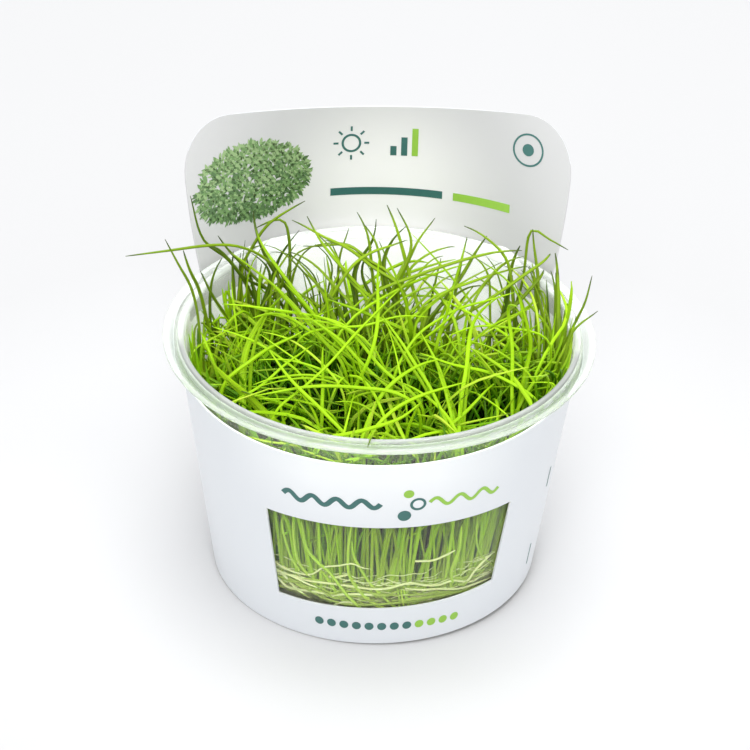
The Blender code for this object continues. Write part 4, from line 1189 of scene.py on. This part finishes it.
# Culms of the back rows, with depths as in the first table
BACK_CULMS_PX = {
    "long_diagonal": (14, 30, 0.45, 0.60, (318, 320), (309, 308), (300, 298), (292, 287), (283, 275),
        (275, 264), (268, 255), (262, 245), (257, 236), (254, 222)),
    "long_diagonal_2": (14, 26, 0.36, 0.52, (300, 312), (296, 307), (287, 297), (278, 289), (270, 282),
        (261, 275), (252, 268), (244, 262), (237, 257), (230, 251), (224, 250)),
    "steep": (24, 30, 0.38, 0.52, (270, 310), (270, 302), (270, 293), (272, 287), (273, 278), (274, 272),
        (280, 267), (285, 258), (292, 249), (296, 244)),
    "olive_fall": (20, 29, 0.36, 0.36, (334, 286), (327, 277), (322, 271), (312, 262), (303, 257),
        (297, 253), (288, 252)),
    "broad_green": (20, 28, 0.62, 0.50, (330, 308), (327, 299), (323, 293), (319, 285), (312, 277),
        (305, 268), (300, 262), (291, 254)),
    "dark_tip": (20, 24, 0.33, 0.22, (318, 286), (311, 278), (304, 272), (298, 267)),
    "thin_1": (26, 28, 0.24, 0.36, (309, 306), (308, 297), (307, 290), (305, 281), (303, 272)),
    "thin_2": (26, 29, 0.24, 0.38, (281, 284), (287, 276), (295, 268), (300, 262)),
    "thin_3": (28, 30, 0.20, 0.16, (231, 285), (233, 275), (237, 268), (239, 258), (241, 250), (243, 239)),
    "upright_dark": (26, 29, 0.66, 0.10, (258, 306), (257, 299), (254, 288), (251, 277), (248, 266),
        (246, 252)),
    "upright_green": (26, 28, 0.48, 0.34, (253, 314), (252, 306), (250, 298), (245, 285), (242, 275),
        (240, 268)),
    "bend_green": (27, 29, 0.36, 0.46, (238, 282), (241, 270), (245, 260), (248, 251), (253, 246),
        (259, 244), (266, 245)),
    "dark_clump_1": (24, 28, 0.80, 0.06, (296, 308), (293, 298), (291, 288), (285, 278), (280, 268),
        (275, 260)),
    "dark_clump_2": (24, 28, 0.66, 0.12, (262, 310), (264, 300), (268, 291), (272, 282), (271, 273),
        (268, 265), (260, 258), (252, 253)),
    "dark_clump_3": (24, 28, 0.50, 0.24, (278, 300), (278, 293), (279, 284), (278, 272), (277, 264)),
    "level_grey": (28, 30, 0.20, 0.10, (292, 256), (288, 252), (277, 252), (270, 252)),
    "level_olive": (28, 30, 0.26, 0.30, (288, 257), (283, 251), (278, 248), (272, 246), (265, 245)),
    "thin_4": (26, 30, 0.18, 0.40, (326, 290), (326, 280), (325, 268), (324, 257)),
    "thin_5": (26, 28, 0.20, 0.14, (321, 290), (319, 281), (316, 272)),
    "bow_lime": (22, 29, 0.38, 0.56, (352, 283), (345, 274), (341, 267), (336, 255), (330, 246), (325, 240),
        (318, 235)),
    "bow_dark": (24, 29, 0.26, 0.16, (328, 290), (329, 282), (333, 273), (334, 266), (330, 258), (326, 252),
        (321, 249), (315, 244)),
    "rise_1": (22, 28, 0.38, 0.56, (326, 312), (327, 304), (329, 297), (333, 290), (340, 283), (345, 277),
        (350, 268), (356, 262)),
    "rise_2": (22, 28, 0.42, 0.46, (330, 296), (332, 287), (336, 280), (340, 271), (345, 263)),
    "pale_curve": (20, 24, 0.42, 0.70, (319, 320), (317, 312), (312, 304), (308, 298), (300, 296)),
    "low_green": (24, 26, 0.26, 0.24, (304, 303), (309, 298), (315, 294), (321, 294)),
    "dark_mass_1": (22, 26, 0.85, 0.08, (346, 310), (344, 300), (341, 292), (338, 283), (335, 276)),
    "dark_mass_2": (22, 26, 0.80, 0.14, (358, 310), (356, 300), (353, 290), (352, 282), (349, 276)),
    "dark_curl": (24, 29, 0.62, 0.14, (376, 304), (371, 295), (367, 288), (363, 279), (361, 270), (363, 262),
        (368, 254), (373, 246)),
    "pale_back": (20, 29, 0.34, 0.72, (408, 312), (405, 300), (402, 289), (398, 280), (394, 272), (388, 260),
        (382, 249), (379, 241)),
    "lime_arc": (20, 26, 0.34, 0.52, (401, 288), (405, 284), (411, 280), (421, 273), (432, 274), (440, 277),
        (452, 280)),
    "lime_rise": (18, 26, 0.36, 0.50, (413, 310), (419, 304), (424, 298), (430, 292), (435, 287), (442, 279),
        (450, 275), (458, 274)),
    "level_lime": (18, 24, 0.30, 0.56, (405, 298), (411, 293), (417, 290), (425, 287), (435, 287),
        (444, 288), (452, 290)),
    "dark_blade": (22, 24, 0.62, 0.12, (430, 310), (432, 300), (434, 291), (434, 284)),
    "bright_rise": (16, 24, 0.45, 0.66, (424, 309), (431, 304), (437, 300), (446, 294), (453, 288),
        (458, 281), (462, 273)),
    "thin_dark_1": (24, 26, 0.22, 0.14, (414, 304), (416, 298), (418, 293), (422, 284)),
    "thin_dark_2": (24, 28, 0.22, 0.14, (377, 290), (374, 284), (370, 279), (365, 274)),
    "thin_pale": (24, 28, 0.22, 0.66, (378, 292), (376, 285), (374, 278), (371, 270), (366, 262),
        (362, 255)),
    "grey_bow": (28, 31, 0.24, 0.28, (322, 244), (335, 242), (347, 243), (356, 245), (358, 250)),
    "olive_bow": (26, 30, 0.40, 0.46, (368, 260), (361, 256), (355, 252), (345, 247), (335, 242),
        (325, 240)),
    "olive_cross": (24, 30, 0.34, 0.40, (346, 288), (344, 278), (342, 268), (338, 258), (335, 250),
        (331, 242)),
    "right_bow": (22, 28, 0.34, 0.44, (490, 310), (490, 298), (490, 284), (489, 275), (486, 267), (480, 261),
        (472, 254), (464, 251)),
    "right_thin_bow": (24, 28, 0.28, 0.30, (505, 299), (502, 289), (499, 278), (497, 271), (492, 262),
        (486, 256)),
    "right_fan_1": (18, 28, 0.28, 0.38, (478, 291), (486, 281), (492, 274), (498, 267), (503, 262),
        (511, 260), (518, 257), (525, 256)),
    "right_fan_2": (18, 26, 0.28, 0.44, (452, 289), (462, 283), (472, 277), (482, 272), (492, 267),
        (502, 262)),
    "right_fan_3": (18, 26, 0.38, 0.52, (450, 290), (462, 285), (474, 281), (485, 277), (497, 273),
        (508, 270), (518, 267), (528, 266)),
    "right_fan_4": (18, 24, 0.33, 0.20, (452, 298), (460, 291), (468, 287), (478, 285), (488, 286)),
    "right_pale_rise": (22, 30, 0.42, 0.66, (446, 306), (450, 296), (455, 283), (458, 271), (462, 258),
        (465, 246), (467, 237)),
    "right_dark_stem": (22, 26, 0.85, 0.10, (507, 312), (508, 303), (509, 292), (511, 280), (512, 268)),
    "right_dark_stem_2": (22, 26, 0.62, 0.20, (515, 312), (514, 300), (514, 288), (513, 275)),
    "right_lime_line": (18, 24, 0.36, 0.56, (536, 313), (529, 304), (522, 295), (515, 287), (512, 278)),
    "right_olive_1": (20, 27, 0.42, 0.38, (548, 314), (547, 304), (546, 297), (542, 288), (537, 277),
        (531, 266)),
    "right_olive_2": (20, 27, 0.33, 0.34, (554, 308), (551, 298), (547, 288), (541, 277), (532, 265)),
    "right_olive_3": (20, 26, 0.28, 0.40, (547, 310), (544, 300), (541, 292), (535, 283), (528, 277),
        (521, 270)),
    "right_hoop": (20, 24, 0.28, 0.36, (561, 314), (560, 303), (558, 294), (553, 289), (547, 288),
        (535, 289), (525, 290)),
    "right_bundle": (14, 20, 0.90, 0.40, (566, 330), (567, 312), (568, 296), (569, 282), (569, 270)),
    "left_bundle": (27, 28, 0.90, 0.46, (237, 318), (238, 304), (238, 290), (238, 275), (239, 264)),
    "left_bundle_2": (26, 27, 0.75, 0.34, (226, 318), (226, 304), (228, 290), (229, 276), (229, 262)),
}

# How traced culms are drawn. One as thick as a bundle is split in strands: how far aside each lies and its
# girth, as shares of the culm's radius, how much lighter it is, and how far up it reaches.
TRACED_POINTS = 44
TRACED_FLATNESS = 1.15
SMOOTHING_PASSES = 4
HIDDEN_STEP = 0.009
LEAST_FALL = 0.5
FOOT_SHARE = 0.85
HALFWAY_SHARE = 0.95
HALFWAY_RISE = 0.60
BUNDLE_RADIUS = 0.60
BUNDLE_NARROWING = 0.6
BUNDLE_ACROSS = (1.0, 0.25, 0.0)
BUNDLE = ((-0.62, 0.50, -0.04, 1.0), (0.0, 0.58, 0.10, 0.93), (0.60, 0.46, 0.02, 0.86))
SINGLE = ((0.0, 1.0, 0.0, 1.0),)


def traced_culm(points):
    """Return a culm's path through traced points, led down to a foot in the mat."""
    onward = (points[0] - points[1]).normalized()
    onward = Vector((onward.x, onward.y, min(onward.z, -LEAST_FALL))).normalized()
    under = points[0] + HIDDEN_STEP * onward
    foot = Vector((FOOT_SHARE * under.x, FOOT_SHARE * under.y, MAT_TOP_Z))
    halfway = Vector((HALFWAY_SHARE * under.x, HALFWAY_SHARE * under.y,
                      HALFWAY_RISE * under.z + (1.0 - HALFWAY_RISE) * foot.z))
    path = smooth_path([foot, halfway, under] + points, TRACED_POINTS)
    for _ in range(SMOOTHING_PASSES):
        path[1:-1] = 0.25 * path[:-2] + 0.50 * path[1:-1] + 0.25 * path[2:]
    return path


def build_traced_culms(name, table, seen, end):
    """Make the culms of a table; seen places a pixel at a depth or height, and an end of 1 is a dark tip."""
    paths, radii, tones = [], [], []
    share = np.linspace(0.0, 1.0, TRACED_POINTS)[:, None]
    for low, tip, radius, tone, *pixels in table.values():
        last = len(pixels) - 1
        path = traced_culm([seen(pixel, MILLIMETRE * (low + (tip - low) * step / last))
                            for step, pixel in enumerate(pixels)])
        for aside, girth, lighter, reach in SINGLE if radius < BUNDLE_RADIUS else BUNDLE:
            spread = aside * radius * MILLIMETRE * (1.0 - BUNDLE_NARROWING * share ** 3)
            strand = [Vector(point) for point in path[:1 + round(reach * (TRACED_POINTS - 1))]]
            paths.append(smooth_path(strand, TRACED_POINTS) + spread * np.array([BUNDLE_ACROSS]))
            radii.append(girth * radius * MILLIMETRE)
            tones.append(tone + lighter)
    mesh = culm_tubes(name, kept_inside(np.array(paths)), radii, tones, end, TRACED_FLATNESS, sides=7)
    add_piece(name, mesh, culm_material())


# Roots against the wall, as pixels from left to right
ROOTS_PX = {
    "upper_left": ((272, 558), (283, 566), (297, 572), (312, 573.5), (324, 566.6), (339, 565), (352, 563),
        (362, 567), (371, 568.5)),
    "main": ((276, 572.7), (293, 574.4), (307, 579.5), (324, 582), (346, 584.7), (370, 588.2), (388, 587.8),
        (401, 584), (410, 582), (426, 584.7), (439, 584), (453, 579.5), (469, 581.3), (479, 576),
        (491, 571)),
    "lower": ((278, 576), (288, 586), (302, 589), (319, 591.6), (333, 594), (353, 593.3), (370, 594),
        (386, 594), (396, 593)),
    "lower_right": ((405, 588), (422, 589), (439, 588), (457, 588), (474, 583), (491, 576)),
    "bright_right": ((415, 560.6), (432, 559.7), (445, 554.6), (455, 549.4)),
    "left_fan": ((272, 566), (280, 570), (290, 580), (297, 588), (310, 597)),
    "left_fan_2": ((273, 569), (284, 572), (296, 577), (308, 583), (318, 587)),
    "right_rise": ((456, 580), (466, 580), (474, 570), (482, 561), (491, 553)),
    "short_middle": ((329, 575.5), (336, 576.5), (343, 575), (349, 574)),
    "bottom": ((332, 606), (340, 602), (350, 601.5), (358, 604)),
}
# Runners and culms against the wall: radius in millimetres, tone and pixels
RUNNERS_PX = {
    "from_top_1": (0.46, 0.86, (361.9, 609), (346.4, 593.3), (329.2, 571), (318.9, 562.3), (306.8, 546.8),
        (301.7, 520)),
    "from_top_2": (0.50, 0.89, (384.3, 608), (370.5, 600.2), (356.8, 586.4), (349, 572.7), (348.2, 558.9),
        (349, 541.7), (352.5, 520)),
    "from_top_3": (0.42, 0.88, (396.4, 608), (384.3, 596.8), (370.5, 583), (360.2, 567.5), (353.3, 553.7),
        (352, 540)),
    "from_top_4": (0.38, 0.90, (308.5, 574.4), (299.9, 562.3), (295.6, 546.8), (293, 520)),
    "from_top_5": (0.38, 0.86, (299.9, 569.2), (291.3, 555.4), (284.4, 533), (282, 518)),
    "slant": (0.36, 0.78, (346.4, 605), (331, 583), (322, 570)),
    "right_stem": (0.44, 0.88, (452, 581), (450.6, 571), (454.9, 559), (458.4, 548.6), (461, 525)),
    "right_thin": (0.28, 0.86, (491, 564), (479, 552), (475.6, 534.8), (477.3, 515)),
    "right_dark": (0.60, 0.10, (492.8, 570), (494, 555), (498, 533), (508.3, 505)),
    "low_1": (0.34, 0.34, (320, 596), (345, 603), (372, 604), (400, 602), (428, 599)),
    "low_2": (0.34, 0.28, (340, 583), (362, 590), (384, 594), (410, 594), (440, 592), (470, 588)),
    "low_3": (0.34, 0.40, (300, 583), (320, 590), (345, 599), (366, 606)),
    "low_4": (0.34, 0.38, (400, 600), (425, 597), (452, 592), (474, 587), (488, 580)),
    "low_5": (0.34, 0.22, (283, 575), (300, 584), (318, 594), (332, 602)),
    "bundle_1": (0.34, 0.84, (399, 607), (399, 598), (397, 588)),
    "bundle_2": (0.34, 0.90, (404, 607), (402, 598), (401, 588)),
    "bundle_3": (0.34, 0.84, (409, 606), (406, 597), (403, 588)),
}
FINE_ROOTS = 45
FINE_RUNNERS = 110
WALL_POINTS = 30
WANDER_STARTS = (-58.0, 62.0)
WANDER_TURN = 4.0
WANDER_SLOPE = 0.00006
WANDER_RISE = 0.0008
LEAST_INSET = 0.0004
RUNNER_END = 0.16
RUNNER_FLATNESS = 1.2


def on_wall(pixels, inset):
    """Return a smooth path through pixels that lies an inset inside the near wall."""
    return smooth_path([seen_on_wall(pixel, inset) for pixel in pixels], WALL_POINTS)


def wandering(draw, lowest, highest, deepest):
    """Return a path that wanders round the front of the wall between two heights."""
    azimuth = draw.uniform(*WANDER_STARTS)
    z = draw.uniform(lowest, highest)
    slope = draw.uniform(-WANDER_SLOPE, WANDER_SLOPE)
    points = []
    for step in range(6):
        turn = WANDER_TURN * step
        height = z + slope * turn + draw.uniform(-WANDER_RISE, WANDER_RISE)
        radius = wall_inside(height) - draw.uniform(LEAST_INSET, deepest)
        points.append(around(azimuth + turn, radius, height))
    return smooth_path(points, WALL_POINTS)


def build_roots():
    """Make the white roots that cross the window, with finer ones among them."""
    paths, radii = [], []
    for index, pixels in enumerate(ROOTS_PX.values()):
        paths.append(on_wall(pixels, 0.0004 + 0.00015 * (index % 3)))
        radii.append(0.00022 + 0.00003 * (index % 3))
    draw = random.Random(SEED)
    for _ in range(FINE_ROOTS):
        paths.append(wandering(draw, 0.0120, 0.0200, 0.0016))
        radii.append(draw.uniform(0.00006, 0.00012))
    mesh = culm_tubes("white_roots", paths, radii, 0.0, 0.0, 1.0)
    add_piece("white_roots", mesh, root_material())


def build_runners():
    """Make the culms and runners that press against the window."""
    paths, radii, tones = [], [], []
    for index, (radius, tone, *pixels) in enumerate(RUNNERS_PX.values()):
        paths.append(on_wall(pixels, 0.0005 + 0.0002 * (index % 3)))
        radii.append(radius * MILLIMETRE)
        tones.append(tone)
    draw = random.Random(SEED + 1)
    for _ in range(FINE_RUNNERS):
        paths.append(wandering(draw, 0.0100, 0.0165, 0.0030))
        radii.append(draw.uniform(0.00018, 0.00030))
        tones.append(draw.uniform(0.12, 0.55))
    mesh = culm_tubes("window_runners", paths, radii, tones, RUNNER_END, RUNNER_FLATNESS)
    add_piece("window_runners", mesh, culm_material())


# Prints: plain shapes, as (u, v) outlines in millimetres that are laid on the sleeve
PRINT_LIFT = 0.00004
INK_THICKNESS = 0.00003
FRONT_RADIUS = 0.0430


def strip(points, width):
    """Return a band of quads along a line of (u, v) points."""
    line = np.array(points, dtype=float)
    heading = np.gradient(line, axis=0)
    heading /= np.linalg.norm(heading, axis=1, keepdims=True)
    half = 0.5 * np.broadcast_to(width, (len(line),))[:, None]
    side = np.stack([-heading[:, 1], heading[:, 0]], axis=1) * half
    verts = [tuple(point) for pair in zip(line - side, line + side) for point in pair]
    faces = [(2 * i, 2 * i + 2, 2 * i + 3, 2 * i + 1) for i in range(len(line) - 1)]
    return verts, faces


def between(start, end, count):
    """Return evenly spaced points from a start to an end."""
    return [(start[0] + (end[0] - start[0]) * i / count, start[1] + (end[1] - start[1]) * i / count)
            for i in range(count + 1)]


def polar(centre, radius, angle):
    """Return the point at an angle and a distance from a centre."""
    return centre[0] + radius * math.cos(angle), centre[1] + radius * math.sin(angle)


def straight(start, end, width, count=24):
    """Return a straight band."""
    return strip(between(start, end, count), width)


def wave(start, end, height, waves, width):
    """Return a wavy band."""
    count = 16 * waves
    return strip([(u, v + height * math.sin(math.tau * waves * i / count))
                  for i, (u, v) in enumerate(between(start, end, count))], width)


def ring(centre, radius, width):
    """Return a ring."""
    count = 40
    return strip([polar(centre, radius, math.tau * i / count) for i in range(count + 1)], width)


def disc(centre, radius):
    """Return a filled disc of concentric rows."""
    count = 28
    verts = [centre] + [polar(centre, row * radius, math.tau * i / count) for row in (0.5, 1.0)
                        for i in range(count)]
    faces = []
    for i in range(count):
        following = (i + 1) % count
        faces.append((0, 1 + i, 1 + following))
        faces.append((1 + i, 1 + count + i, 1 + count + following, 1 + following))
    return verts, faces


def leaf(foot, tip, width):
    """Return a pointed oval leaf."""
    count = 8
    widths = [max(0.03, width * math.sin(math.pi * i / count) ** 0.8) for i in range(count + 1)]
    return strip(between(foot, tip, count), widths)


def lay_print(name, shapes, project, material):
    """Lay flat shapes on the sleeve as one thin piece of ink."""
    verts, faces = [], []
    for shape_verts, shape_faces in shapes:
        base = len(verts)
        verts += [project(u * MILLIMETRE, v * MILLIMETRE) for u, v in shape_verts]
        faces += [tuple(base + corner for corner in face) for face in shape_faces]
    mesh = new_mesh(name, verts, faces)
    solidify = add_piece(name, mesh, material).modifiers.new("ink", "SOLIDIFY")
    mesh.shade_flat()
    solidify.thickness = INK_THICKNESS
    solidify.offset = 0.0


def print_projectors(sleeve):
    """Return the two ways to lay a print on the sleeve: on the card's front, and round the cup's front."""
    tree = BVHTree.FromObject(sleeve, bpy.context.evaluated_depsgraph_get())

    def lifted(start, heading):
        spot, normal, _, _ = tree.ray_cast(start, heading)
        return spot + normal * PRINT_LIFT

    def on_card(u, v):
        return lifted(Vector((u, 0.0, v)), Vector((0.0, 1.0, 0.0)))

    def on_front(u, v):
        start = around(math.degrees(u / FRONT_RADIUS), 0.08, v)
        return lifted(start, Vector((-start.x, -start.y, 0.0)))

    return on_card, on_front


def cushion_picture(draw):
    """Return three sets of leaves: a generic round cushion of small leaves, darker low down."""
    sets = ([], [], [])
    middle, half_width, half_height = (-31.6, 75.6), 12.6, 8.2
    for _ in range(1500):
        out = math.sqrt(draw.uniform(0.0, 1.0))
        turn = draw.uniform(0.0, math.tau)
        foot = (middle[0] + half_width * out * math.cos(turn),
                middle[1] + half_height * out * math.sin(turn))
        spread = 0.9 + 2.0 * (1.0 - out)
        aim = turn + draw.uniform(-spread, spread)
        tip = polar(foot, draw.uniform(1.3, 2.2), aim)
        light = 0.5 + 0.35 * out * math.sin(turn) + draw.uniform(-0.45, 0.45)
        tone = 0 if light < 0.25 else 1 if light < 0.65 else 2
        sets[tone].append(leaf(foot, tip, draw.uniform(0.45, 0.75)))
    return sets


def build_prints(sleeve):
    """Print the sleeve with plain shapes in teal and lime."""
    on_card, on_front = print_projectors(sleeve)
    teal = ink("teal_ink", (0.040, 0.150, 0.135))
    lime = ink("lime_ink", (0.300, 0.560, 0.060))
    greens = (ink("deep_green_ink", (0.085, 0.170, 0.060)), ink("mid_green_ink", (0.160, 0.290, 0.100)),
              ink("pale_green_ink", (0.290, 0.430, 0.190)))
    for index, (shapes, material) in enumerate(zip(cushion_picture(random.Random(SEED)), greens)):
        lay_print(f"card_cushion_{index + 1}", shapes, on_card, material)
    sun_middle, mark_middle, rule_v = (-8.4, 82.4), (34.2, 83.9), 69.9
    sun = [ring(sun_middle, 2.1, 0.55)]
    for ray in range(8):
        angle = math.tau * ray / 8
        sun.append(straight(polar(sun_middle, 3.1, angle), polar(sun_middle, 4.3, angle), 0.5, 4))
    bars = [straight((1.8 + 2.6 * step, 79.2), (1.8 + 2.6 * step, 81.6 + 2.3 * step), 1.5, 8)
            for step in range(3)]
    mark = [ring(mark_middle, 3.45, 0.42), disc(mark_middle, 1.35)]
    rule = [straight((-13.2, rule_v), (14.0, rule_v), 1.9, 60)]
    short_rule = [straight((16.6, rule_v), (30.3, rule_v), 1.9, 40)]
    lay_print("card_marks_teal", sun + bars[:2] + mark + rule, on_card, teal)
    lay_print("card_marks_lime", bars[2:] + short_rule, on_card, lime)
    teal_wave = [wave((-20.5, 42.6), (1.6, 43.6), 1.1, 4, 1.25), disc((6.9, 40.0), 1.5),
                 ring((9.8, 43.2), 1.5, 0.6)]
    lime_wave = [wave((12.4, 43.4), (29.4, 42.6), 1.1, 3, 0.9), disc((7.6, 46.4), 1.15)]
    dots = [disc((-13.0 + 3.2 * step, 5.9), 1.15) for step in range(12)]
    side = [straight((53.0, 29.4), (53.0, 35.0), 0.7, 10), straight((50.4, 8.0), (50.4, 14.0), 0.5, 10)]
    lay_print("front_marks_teal", teal_wave + dots[:8] + side, on_front, teal)
    lay_print("front_marks_lime", lime_wave + dots[8:], on_front, lime)


set_camera()
set_light()
lay_floor()
build_cup()
dress_cad_nodes()
build_plantlets()
build_strays()
build_traced_culms("tall_culms", TALL_CULMS_PX, seen_at_depth, 1.0)
build_traced_culms("top_culms", TOP_CULMS_PX, seen_at_height, 0.952)
build_traced_culms("back_culms", BACK_CULMS_PX, seen_at_depth, 1.0)
build_roots()
build_runners()
build_prints(build_sleeve())
